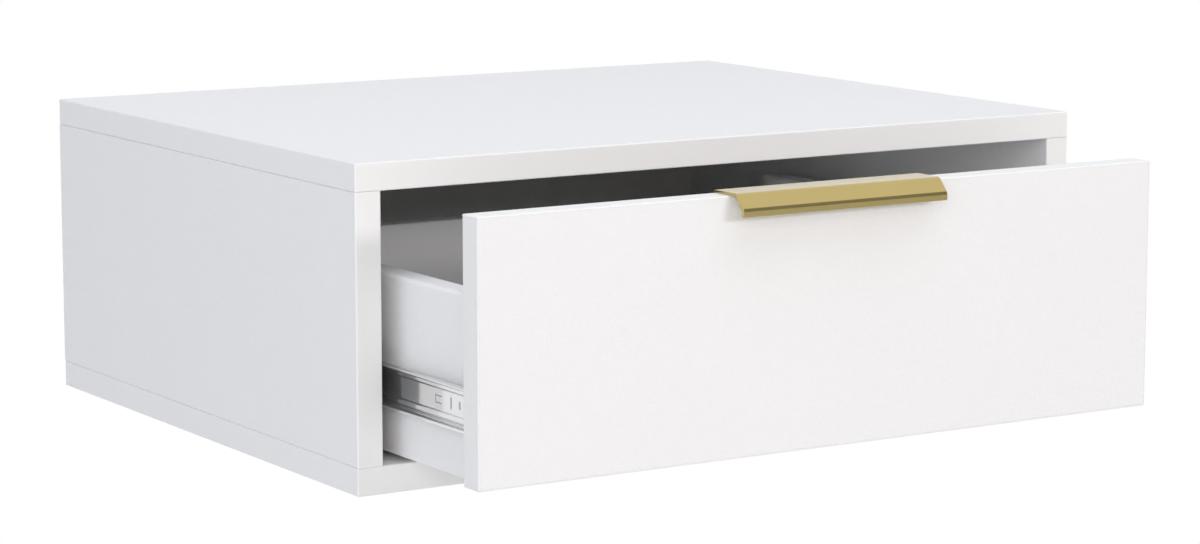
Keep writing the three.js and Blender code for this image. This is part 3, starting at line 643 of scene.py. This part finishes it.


# %% [markdown]
# ## Boards
#
# A melamine board is a slab with thin plastic strips glued on its visible edges. The strip's outer
# corners are rounded by the machine that trims it, and a hair-fine seam stays between strip and
# slab. The slab and its strips are separate shells here, and a tiny bevel at the seam catches the
# light as the real one does. The strips at the ends match the faces. Those in front are painted a
# brighter white than the faces, which is painted light: it makes up for light that they lack. The
# side boards' outer corners are eased where they meet the top and the bottom, which draws the joint
# lines. At the wall the edges are raw, and a step in them takes the back sheet.

# %% Banded boards
band_thick = 1.0 * mm
band_round = 0.9 * mm
seam = 0.09 * mm
face_paint, band_paint, raw_paint = 0, 1, 2
joint_round = 0.9 * mm
drum_low, drum_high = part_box("left_front_cam_lock")
drum_radius = (drum_high.z - drum_low.z) / 2
board_paints = [white_laminate, edge_band_painted_light, raw_chipboard]


def banded_board(low, high, banded, square=()):
    """The corners of a board's slab, and its edge strips. Banded lists (axis, sign) of the edges
    with a strip; the first ones run past the ends of the later ones. Square names axes whose ends
    meet another board."""
    slab = [Vector(low), Vector(high)]
    strips = bmesh.new()
    for axis, sign in banded:
        ends = [slab[0].copy(), slab[1].copy()]
        side = 1 if sign > 0 else 0
        slab[side][axis] -= sign * band_thick
        ends[1 - side][axis] = slab[side][axis]
        strip = block(*ends)
        outer = lying_at(strip.edges, axis, ends[side][axis])
        free = []
        for other in {0, 1, 2} - {axis} - set(square):
            free += lying_at(outer, other, low[other]) + lying_at(outer, other, high[other])
        soften(strip, free, band_round, 4)
        for face in strip.faces:
            face.material_index = face_paint if axis == 0 else band_paint
        add_shape(strips, strip)
    return slab, strips


def paint_raw(shape, axis, value):
    for face in lying_at(shape.faces, axis, value):
        face.material_index = raw_paint


def show_board(name, shape, body, node, rounding=seam):
    """Shows a board that stands for a node."""
    show(name, shape, body, "white_laminate", board_paints, [node], rounding=rounding, steps=1)


# %% Top and bottom boards
sheet_low, sheet_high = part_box("back_panel")
sheet_gap = 0.3 * mm
side_step = sheet_high.x + sheet_gap
inner_steps = {"top_panel": sheet_high.z + sheet_gap, "bottom_panel": sheet_low.z - sheet_gap}
screw_sink = [(3.2 * mm, 0.66), (12 * mm, 1)]


def taken(face, inner_step):
    """Whether a rear face lies where the back sheet goes."""
    middle = face.calc_center_median()
    return abs(middle.x) < side_step and abs(middle.z) < abs(inner_step)


for node, inner_step in inner_steps.items():
    low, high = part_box(node)
    slab, strips = banded_board(low, high, [(1, -1), (0, -1), (0, 1)])
    slab[1].y = sheet_low.y
    board = block(*slab)
    if node == "bottom_panel":
        ends = [f"{side}_{row}" for side in ("left", "right") for row in ("front", "rear")]
        under = [middle_of(f"{end}_panel_screw") for end in ends]
        face = lying_at(board.faces, 2, low.z)[0]
        mouths = [ring(board, (spot.x, spot.y, low.z), (0, 0, -1), 5.2 * mm) for spot in under]
        pierce(board, face, [(mouth, screw_sink) for mouth in mouths])
    for axis, value in ((0, -side_step), (0, side_step), (2, inner_step)):
        slice_at(board, axis, value)
    rear = [f for f in lying_at(board.faces, 1, sheet_low.y) if not taken(f, inner_step)]
    raise_faces(board, rear, (0, -sheet_low.y, 0))
    paint_raw(board, 1, 0)
    show_board(node.replace("panel", "board"), add_shape(board, strips), "cabinet", node)
print("top and bottom boards:", 2)

# %% Side boards
drum_bore = [(12.9 * mm, 1)]
for side in ("left", "right"):
    low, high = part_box("left_side_panel")
    slab, strips = banded_board(low, high, [(1, -1)], square=(2,))
    slab[1].y = sheet_low.y
    board = block(*slab)
    outside = lying_at(board.edges, 0, low.x)
    joints = lying_at(outside, 2, low.z) + lying_at(outside, 2, high.z)
    soften(board, joints, joint_round)
    slice_at(board, 0, -side_step)
    rear = lying_at(board.faces, 1, sheet_low.y)
    outer = [face for face in rear if face.calc_center_median().x < -side_step]
    raise_faces(board, outer, (0, -sheet_low.y, 0))
    paint_raw(board, 1, 0)
    drums = [middle_of(f"left_{row}_cam_lock") for row in ("front", "rear")]
    places = [(high.x, drum.y, drum.z) for drum in drums]
    mouths = [ring(board, place, (1, 0, 0), drum_radius + sheet_gap) for place in places]
    pierce(board, face_holding(board, places[0]), [(mouth, drum_bore) for mouth in mouths])
    add_shape(board, strips)
    if side == "right":
        mirrored(board)
    show_board(f"{side}_side_board", board, "cabinet", f"{side}_side_panel")
print("side boards:", 2)

# %% [markdown]
# ## Back sheet and hanging rail
#
# The back is a thin fibreboard sheet that sits in the boards' step, held by small nails set a
# little below its face. Behind the drawer a rail carries the cabinet: two wall screws pass through
# it and the sheet.

# %% Back sheet and rail
rail_low, rail_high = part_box("hanging_rail")
opening_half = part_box("right_side_panel")[0].x
hole_x = opening_half - 60 * mm
hole_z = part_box("top_panel")[0].z - 24 * mm
hole_radius = 4 * mm
nail_inset = 4 * mm
nail_radius = 1.25 * mm
nails_each_way = ((6, 0), (3, 2))
cut_edge = 0.15 * mm


def show_sheet(name, shape, body, node):
    """Shows a backing sheet that stands for a node."""
    show(name, shape, body, "white_backing", None, [node], rounding=cut_edge)


sheet = block(sheet_low, sheet_high)
nails = []
for count, axis in nails_each_way:
    for i in range(count):
        share = (i + 0.5) / count
        for end in (0, 1):
            spot = Vector((0, sheet_high.y, 0))
            other = 2 - axis
            inset = nail_inset if end == 0 else -nail_inset
            spot[axis] = sheet_low[axis] + (sheet_high[axis] - sheet_low[axis]) * share
            spot[other] = (sheet_low, sheet_high)[end][other] + inset
            nails.append(spot)
walls = [Vector((hand * hole_x, sheet_high.y, hole_z)) for hand in (-1, 1)]
rearward = (0, 1, 0)
dent = [(0.35 * mm, 0.96)]
dents = [(ring(sheet, spot, rearward, 1.4 * mm, sides=16), dent) for spot in nails]
outside = [ring(sheet, spot, rearward, hole_radius) for spot in walls]
forward = Vector((0, sheet_low.y, 0))
inside = [ring(sheet, spot + forward, rearward, hole_radius) for spot in walls]
rear_face = lying_at(sheet.faces, 1, sheet_high.y)[0]
pierce(sheet, rear_face, dents + [(loop, []) for loop in outside])
pierce(sheet, lying_at(sheet.faces, 1, sheet_low.y)[0], [(loop, []) for loop in inside])
for first, second in zip(outside, inside):
    bmesh.ops.bridge_loops(sheet, edges=first + second)
show_sheet("back_sheet", sheet, "cabinet", "back_panel")

heads = bmesh.new()
for spot in nails:
    round_head = {"u_segments": 12, "v_segments": 6, "radius": nail_radius}
    ball = bmesh.ops.create_uvsphere(heads, **round_head)["verts"]
    bmesh.ops.scale(heads, vec=(1, 0.16, 1), verts=ball)
    bmesh.ops.translate(heads, vec=spot - Vector((0, 0.32 * mm, 0)), verts=ball)
show("back_sheet_nails", heads, "cabinet", "zinc_steel")

rail = block((-opening_half, rail_low.y, rail_low.z), (opening_half, rail_high.y, rail_high.z))
soften(rail, lying_at(rail.edges, 2, rail_low.z), 0.8 * mm)
for spot in walls:
    front_spot = Vector((spot.x, rail_low.y, spot.z))
    rear_spot = Vector((spot.x, rail_high.y, spot.z))
    bore_through(rail, front_spot, rear_spot, hole_radius)
show_board("wall_rail", rail, "cabinet", "hanging_rail")
print("nails:", len(nails))

# %% [markdown]
# ## The drawer's boards
#
# The front is a banded board on all four edges. The sides are wrapped in foil, so their top
# corners are round and have no seam. A groove low on their inner faces holds the bottom sheet, and
# a cam drum sits near the front.

# %% Drawer front
low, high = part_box("drawer_front")
slab, strips = banded_board(low, high, [(2, 1), (2, -1), (0, 1), (0, -1)])
bottom_low, bottom_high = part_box("drawer_bottom")
board = block(*slab)
show_board("drawer_front_board", add_shape(board, strips), "drawer", "drawer_front")

# %% Drawer sides
groove_depth = 5 * mm
for side in ("left", "right"):
    low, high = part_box("left_drawer_side")
    board = block(low, high)
    soften(board, running_along(lying_at(board.edges, 2, high.z), 1), 2.5 * mm, 6)
    soften(board, running_along(lying_at(board.edges, 2, low.z), 1), 0.8 * mm)
    slice_at(board, 2, bottom_low.z - sheet_gap)
    slice_at(board, 2, bottom_high.z + sheet_gap)
    middle_z = (bottom_low.z + bottom_high.z) / 2
    inner = lying_at(board.faces, 0, high.x)
    groove = [f for f in inner if abs(f.calc_center_median().z - middle_z) < 2 * mm]
    raise_faces(board, groove, (-groove_depth, 0, 0))
    drum = middle_of("left_drawer_cam_lock")
    mouth = Vector((high.x, drum.y, drum.z))
    loop = ring(board, mouth, (1, 0, 0), drum_radius + sheet_gap)
    pierce(board, face_holding(board, mouth), [(loop, drum_bore)])
    spots = [middle_of(f"left_{level}_drawer_back_screw") for level in ("lower", "upper")]
    face = face_holding(board, (low.x, spots[0].y, spots[0].z))
    mouths = [ring(board, (low.x, spot.y, spot.z), (-1, 0, 0), 3.7 * mm) for spot in spots]
    pierce(board, face, [(loop, [(2.4 * mm, 0.6), (10 * mm, 1)]) for loop in mouths])
    paint_raw(board, 1, high.y)
    if side == "right":
        mirrored(board)
    show_board(f"{side}_drawer_side_board", board, "drawer", f"{side}_drawer_side", cut_edge)

# %% Drawer back and bottom
low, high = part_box("drawer_back")
board = block(low, high)
soften(board, running_along(lying_at(board.edges, 2, high.z), 0), 1.5 * mm, 5)
show_board("drawer_back_board", board, "drawer", "drawer_back", cut_edge)
show_sheet("drawer_bottom_sheet", block(bottom_low, bottom_high), "drawer", "drawer_bottom")
print("drawer boards:", 5)

# %% [markdown]
# ## The pull
#
# The pull is one strip of brushed metal, folded three times in a press brake: a leg is screwed
# behind the drawer front, a plate lies over its top edge, and a slope with a short lip takes the
# fingers. So it is drawn as the middle surface of the sheet, its folds are rounded, and a Solidify
# modifier gives the sheet its thickness.

# %% Lines, arcs and folded sheets
def closed_loop(shape, points):
    """A closed loop of edges through points."""
    verts = [shape.verts.new(point) for point in points]
    return [shape.edges.new(pair) for pair in zip(verts, verts[1:] + verts[:1])]


def fill(shape, loops, normal):
    """A flat face inside the first loop, with the other loops left open."""
    settings = {"use_beauty": True, "use_dissolve": False, "normal": normal}
    bmesh.ops.triangle_fill(shape, edges=[edge for loop in loops for edge in loop], **settings)


def arc(centre, radius, start, end, steps=6):
    """Points on an arc, as pairs. Angles are in degrees."""
    x, y = centre
    turns = [math.radians(start + (end - start) * i / steps) for i in range(steps + 1)]
    return [(x + radius * math.cos(turn), y + radius * math.sin(turn)) for turn in turns]


def unroll(shape, edges, moves):
    """Extrudes edges move by move and returns the last ones."""
    for move in moves:
        made = bmesh.ops.extrude_edge_only(shape, edges=edges)["geom"]
        verts = new_verts(made)
        bmesh.ops.translate(shape, vec=move, verts=verts)
        edges = [edge for edge in new_edges(made) if set(edge.verts) <= set(verts)]
    return edges


# %% Folded pull
pull_low, pull_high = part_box("pull_handle")
pull_sheet = 1.8 * mm
bend_radius = 2.4 * mm
leg_y = pull_high.y - pull_sheet / 2
plate_z = pull_high.z - pull_sheet / 2
leg_top = plate_z - 4 * mm
lip_y = pull_low.y + pull_sheet / 2
slope_y = lip_y + 7.2 * mm
lip_top = plate_z - 7.8 * mm
lip_end = lip_top - 4 * mm
screw_spot = middle_of("right_pull_screw")

pull = bmesh.new()
corners = [(pull_low.x, leg_y, pull_low.z), (pull_high.x, leg_y, pull_low.z)]
corners += [(pull_high.x, leg_y, leg_top), (pull_low.x, leg_y, leg_top)]
leg = closed_loop(pull, corners)
centres = [(hand * screw_spot.x, leg_y, screw_spot.z) for hand in (-1, 1)]
holes = [ring(pull, centre, (0, 1, 0), 2.0 * mm, sides=24) for centre in centres]
fill(pull, [leg, *holes], (0, 1, 0))
folds = [(0, 0, plate_z - leg_top), (0, slope_y - leg_y, 0)]
folds += [(0, lip_y - slope_y, lip_top - plate_z), (0, 0, lip_end - lip_top)]
unroll(pull, lying_at(pull.edges, 2, leg_top), folds)
slope_turn = math.atan2(plate_z - lip_top, slope_y - lip_y)
turns = [(leg_y, plate_z, math.pi / 2), (slope_y, plate_z, slope_turn)]
turns += [(lip_y, lip_top, math.pi / 2 - slope_turn)]
for y, z, turn in turns:
    crease = lying_at(lying_at(pull.edges, 1, y), 2, z)
    soften(pull, crease, bend_radius * math.tan(turn / 2), 8)
cut = {"wall": pull_sheet, "rounding": 0.3 * mm, "steps": 3, "angle": 50}
show("edge_pull", pull, "drawer", "brushed_gold", None, ["pull_handle"], **cut)
print("pull folds:", len(turns))

# %% [markdown]
# ## The slides
#
# Each slide has three members, roll-formed from thin strip: the cabinet member, the intermediate
# member and the drawer member. Their flanks curl round two rows of balls, so a section of arcs
# about the balls' centres gives them. Holes and windows are pressed in the flat web first, then
# the flanks are rolled: the same order is used here. Section places are in mm, out from the
# cabinet's inner face and up from the slide's middle.

# %% Slide sections
wall_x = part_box("left_side_panel")[1].x
slide_z = middle_of("left_cabinet_member").z
strip = 1.2 * mm
outer_row = (5.2, 18.9476)
inner_row = (7.7, 13.3119)
outer_ball = 2.38
inner_ball = 2.0


def spot(x, y, height):
    """A point of the left slide. X and height are in mm, Y is in metres."""
    return Vector((wall_x + x * mm, y, slide_z + height * mm))


def slot_loop(shape, x, y, length, height, corner):
    """A slot with round corners, across X. Its middle is at the slide's middle height."""
    points = []
    for hand_y, hand_z, start in ((1, 1, 0), (-1, 1, 90), (-1, -1, 180), (1, -1, 270)):
        centre = (hand_y * (length / 2 - corner), hand_z * (height / 2 - corner))
        points += arc(centre, corner, start, start + 90, 4)
    return closed_loop(shape, [spot(x, y + along * mm, up) for along, up in points])


def steps_of(section):
    """The moves from point to point of a section."""
    pairs = zip(section, section[1:])
    return [Vector(((b[0] - a[0]) * mm, 0, (b[1] - a[1]) * mm)) for a, b in pairs]


def member(front, rear, section, slots):
    """A slide member from its web's slots and the section of its upper flank, from the web on."""
    x, half = section[0]
    shape = bmesh.new()
    corners = ((front, -half), (rear, -half), (rear, half), (front, half))
    rim = closed_loop(shape, [spot(x, y, up) for y, up in corners])
    fill(shape, [rim] + slots(shape, x), (1, 0, 0))
    moves = steps_of(section)
    for hand in (1, -1):
        edges = lying_at(shape.edges, 2, slide_z + hand * half * mm)
        unroll(shape, edges, [Vector((move.x, 0, hand * move.z)) for move in moves])
    return shape


def show_strip(name, shape, body, node, wall=strip, rounding=0.12 * mm):
    """Shows a rolled or pressed strip that stands for a node."""
    finish = {"wall": wall, "rounding": rounding, "angle": 50}
    show(name, shape, body, "zinc_steel", None, [node], **finish)


# %% Drawer members
member_hole = 3.1 * mm
low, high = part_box("left_drawer_member")
drawer_screws = [middle_of(f"left_{row}_drawer_member_screw").y for row in ("front", "rear")]


def drawer_slots(shape, x):
    oval_at, slit_at, tab_at = 17.5 * mm, 27 * mm, 41 * mm
    loops = [ring(shape, spot(x, y, 0), (1, 0, 0), member_hole) for y in drawer_screws]
    loops.append(slot_loop(shape, x, low.y + oval_at, 2.4, 4.6, 1.1))
    loops.append(slot_loop(shape, x, low.y + slit_at, 1.3, 6.8, 0.6))
    tab = [(3.5, 2.3), (-3.5, 2.3), (-3.5, 1.7), (2.9, 1.7)]
    tab += [(along, -up) for along, up in reversed(tab)]
    points = [spot(x, low.y + tab_at + along * mm, up) for along, up in tab]
    return loops + [closed_loop(shape, points)]


drawer_section = arc((11.3, 5.769), 0.8, 0, 45, 4) + arc((11.9, 7.431), 0.8, 225, 180, 4)
drawer_section += arc((9.9, 9.9713), 1.2, 0, 123.37, 10) + arc(inner_row, 2.8, 303.37, 228, 12)[1:]
drawer_section += arc((6.428, 11.9), 0.9, 228, 180, 5)[1:] + [(5.528, 12.1)]
for side in ("left", "right"):
    shape = member(low.y, high.y, drawer_section, drawer_slots)
    if side == "right":
        mirrored(shape)
    show_strip(f"{side}_drawer_rail", shape, "drawer", f"{side}_drawer_member")

# %% Intermediate members
low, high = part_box("left_intermediate_member")
cabinet_low, cabinet_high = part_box("left_cabinet_member")
window_places = [cabinet_low.y + place * mm for place in (76, 148, 220, 292)]
window = (24, 10, 1.2)


def intermediate_slots(shape, x):
    return [slot_loop(shape, x, y, *window) for y in window_places]


corner = arc((4.2, 14.6833), 1.2, 180, 76.8, 7)
middle_section = corner + arc(outer_row, 3.18, 256.8, 279.84, 4)[1:]
middle_section += arc(inner_row, 2.8, 99.84, 35, 8)
for side in ("left", "right"):
    shape = member(low.y, high.y, middle_section, intermediate_slots)
    corners = ((3.5, -2), (9, -2), (9, 2), (3.5, 2))
    lug = closed_loop(shape, [spot(x, low.y + strip / 2, up) for x, up in corners])
    fill(shape, [lug], (0, 1, 0))
    if side == "right":
        mirrored(shape)
    body = f"{side}_intermediate"
    show_strip(f"{body}_rail", shape, body, f"{body}_member")

# %% Cabinet members
cabinet_screws = [middle_of(f"left_{row}_cabinet_member_screw").y for row in ("front", "rear")]


def cabinet_slots(shape, x):
    loops = [ring(shape, spot(x, y, 0), (1, 0, 0), member_hole) for y in cabinet_screws]
    return loops + intermediate_slots(shape, x)


cabinet_section = arc((2.4, 20.3276), 1.8, 180, 90, 8) + arc(outer_row, 3.18, 90, 35, 7)
for side in ("left", "right"):
    shape = member(cabinet_low.y, cabinet_high.y, cabinet_section, cabinet_slots)
    if side == "right":
        mirrored(shape)
    show_strip(f"{side}_cabinet_rail", shape, "cabinet", f"{side}_cabinet_member")
print("slide members:", 6)

# %% [markdown]
# ## Ball cages
#
# A cage is a thin strip with two bent arms. Each arm has round bites that snap over the balls and
# keep them apart. The arm is cut flat with its bites, bent down to the web, and mirrored for the
# lower row.

# %% Cages and balls
cage_sheet = 0.6 * mm
cage_bend = 0.8
ball_gap = 0.14
ball_count = 6
cages = (("outer", 1.8, outer_row, outer_ball), ("inner", 4.2, inner_row, inner_ball))
for side in ("left", "right"):
    for which, web_x, (ball_x, row), radius in cages:
        node = f"{side}_{which}_ball_cage"
        low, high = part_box(node)
        pitch = (high.y - low.y) / ball_count
        arm_end = ball_x + radius * math.cos(math.radians(55))
        grip = radius + ball_gap
        bite = math.degrees(math.acos((arm_end - ball_x) / grip))
        round_bite = arc((ball_x, 0), grip, -bite, bite - 360, 20)
        points = [(web_x + cage_bend, low.y), (arm_end, low.y)]
        centres = [low.y + pitch * (i + 0.5) for i in range(ball_count)]
        for y in centres:
            points += [(x, y + along * mm) for x, along in round_bite]
        points += [(arm_end, high.y), (web_x + cage_bend, high.y)]
        shape = bmesh.new()
        arm = closed_loop(shape, [spot(x, y, row) for x, y in points])
        fill(shape, [arm], (0, 0, 1))
        bend = arc((web_x + cage_bend, row - cage_bend), cage_bend, 90, 180, 4)
        unroll(shape, arm[-1:], steps_of(bend) + [Vector((0, 0, (cage_bend - row) * mm))])
        middle = Matrix.Translation((0, 0, -slide_z))
        everything = list(shape.verts) + list(shape.edges) + list(shape.faces)
        bmesh.ops.mirror(shape, geom=everything, matrix=middle, merge_dist=1e-6, axis="Z")
        balls = bmesh.new()
        round_ball = {"u_segments": 24, "v_segments": 16, "radius": radius * mm}
        for y in centres:
            for hand in (1, -1):
                ball = bmesh.ops.create_uvsphere(balls, **round_ball)["verts"]
                bmesh.ops.translate(balls, vec=spot(ball_x, y, hand * row), verts=ball)
        if side == "right":
            mirrored(shape)
            mirrored(balls)
        body = f"{side}_{which}_balls"
        show_strip(f"{side}_{which}_cage", shape, body, node, cage_sheet, 0.08 * mm)
        show(f"{side}_{which}_cage_balls", balls, body, "ball_steel")
print("balls:", 4 * 2 * ball_count)

# %% [markdown]
# ## Release levers
#
# A moulded lever turns on a stud of each drawer member. Its nose catches the intermediate member's
# lug, so the drawer can't be pulled off the slides; a finger presses the tail to let it go. It is
# an outline with a bore, thickened by a modifier.

# %% Levers and studs
low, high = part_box("left_release_lever")
lever_x = ((low.x + high.x) / 2 - wall_x) / mm
nose, tail = 1.5, 3
neck = 6 * mm
pivot = low.y + 26 * mm
tail_end = high.y - tail * mm
for side in ("left", "right"):
    shape = bmesh.new()
    points = [(low.y, nose), (low.y, -nose), (pivot - neck, -nose), (pivot, -tail)]
    points += [(tail_end + along * mm, up) for along, up in arc((0, 0), tail, -90, 90, 12)]
    points += [(pivot, tail), (pivot - neck, nose), (low.y + 3 * mm, nose)]
    bore = ring(shape, spot(lever_x, pivot, 0), (1, 0, 0), 1.8 * mm, sides=24)
    fill(shape, [closed_loop(shape, [spot(lever_x, y, up) for y, up in points]), bore], (1, 0, 0))
    stud = bmesh.new()
    rim = ring(stud, spot(6.0, pivot, 0), (-1, 0, 0), 2.6 * mm, sides=24)
    bmesh.ops.contextual_create(stud, geom=rim)
    head = [(0.3 * mm, 1.07), (0.5 * mm, 1), (0, 1.6 / 2.8)]
    wall_down(stud, rim, (1, 0, 0), head + [(4.9 * mm, 1)])
    if side == "right":
        mirrored(shape)
        mirrored(stud)
    moulded = {"replaces": [f"{side}_release_lever"], "wall": high.x - low.x, "rounding": 0.35 * mm}
    show(f"{side}_lever_arm", shape, f"{side}_lever", "black_plastic", **moulded)
    show(f"{side}_lever_stud", stud, "drawer", "zinc_steel")
print("levers:", 2)

# %% [markdown]
# ## Cam drums and screws
#
# The boards are held by cam fittings: a cast drum with a cross in its face, a little below the
# board's surface. Screws have flat heads with a cross recess, except the long ones under the
# bottom board, which take a hex key. Each is a loop of edges that is drawn down into its recess
# and out along its shank.

# %% Cam drums
drums = [("front_cam_lock", "cabinet"), ("rear_cam_lock", "cabinet"), ("drawer_cam_lock", "drawer")]
for side in ("left", "right"):
    for name, body in drums:
        low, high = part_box(f"left_{name}")
        face_point = Vector((high.x, (low.y + high.y) / 2, (low.z + high.z) / 2))
        shape = bmesh.new()
        rim = ring(shape, face_point, (1, 0, 0), drum_radius, sides=48)
        recess = cross(shape, face_point, (1, 0, 0), 4.6 * mm, 1.5 * mm)
        fill(shape, [rim, recess], (1, 0, 0))
        wall_down(shape, recess, (-1, 0, 0), [(1.6 * mm, 0.9)])
        wall_down(shape, rim, (-1, 0, 0), [(high.x - low.x, 1)])
        if side == "right":
            mirrored(shape)
        node = f"{side}_{name}"
        show(f"{node}_drum", shape, body, "cast_zinc", None, [node], rounding=0.2 * mm)

# %% Screws
def screw_shape(start, direction, kind, hexagon=False):
    """A flat-headed screw from the middle of its head's face. The kind gives, in mm, the head's
    radius and depth, the shank's radius, the whole length and the tip's length."""
    head, sink, shank, length, tip = [value * mm for value in kind]
    shape = bmesh.new()
    rim = ring(shape, start, direction, head)
    if hexagon:
        recess = ring(shape, start, direction, head * 0.48, sides=6)
    else:
        recess = cross(shape, start, direction, head * 0.62, head * 0.26)
    fill(shape, [rim, recess], -Vector(direction))
    wall_down(shape, recess, direction, [(sink * 0.75, 0.95 if hexagon else 0.55)])
    body = [(0.12 * mm, 1), (sink, shank / head), (length - sink - tip, 1), (tip * 0.9, 0.12)]
    wall_down(shape, rim, direction, body)
    return shape


screws = []
for row in ("front", "rear"):
    screws.append((f"{row}_panel_screw", "cabinet", (0, 0, 1), (5, 3, 3.2, 50, 4)))
    screws.append((f"{row}_cabinet_member_screw", "cabinet", (-1, 0, 0), (3.5, 2, 1.7, 13, 3)))
    screws.append((f"{row}_drawer_member_screw", "drawer", (1, 0, 0), (3.5, 2, 1.7, 10, 3)))
for level in ("lower", "upper"):
    screws.append((f"{level}_drawer_back_screw", "drawer", (1, 0, 0), (3.5, 2.2, 1.9, 40, 4)))
screws.append(("pull_screw", "drawer", (0, -1, 0), (3.2, 1.8, 1.6, 14, 3)))
for side in ("left", "right"):
    for name, body, direction, kind in screws:
        low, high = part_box(f"left_{name}")
        axis = max(range(3), key=lambda i: abs(direction[i]))
        start = (low + high) / 2
        start[axis] = low[axis] if direction[axis] > 0 else high[axis]
        shape = screw_shape(start, direction, kind, hexagon="panel" in name)
        if side == "right":
            mirrored(shape)
        node = f"{side}_{name}"
        show(f"{node}_body", shape, body, "zinc_steel", None, [node], rounding=0.1 * mm)
print("screws:", 2 * len(screws))

# %% [markdown]
# ## Sizes
#
# The dressed model must not outgrow the solids, so both boxes are gathered side by side.

# %% Gather the sizes
size_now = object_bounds()
plain = lambda pair: [[float(value) for value in corner] for corner in pair]
{"solids": plain(solid_box), "dressed": plain(size_now)}
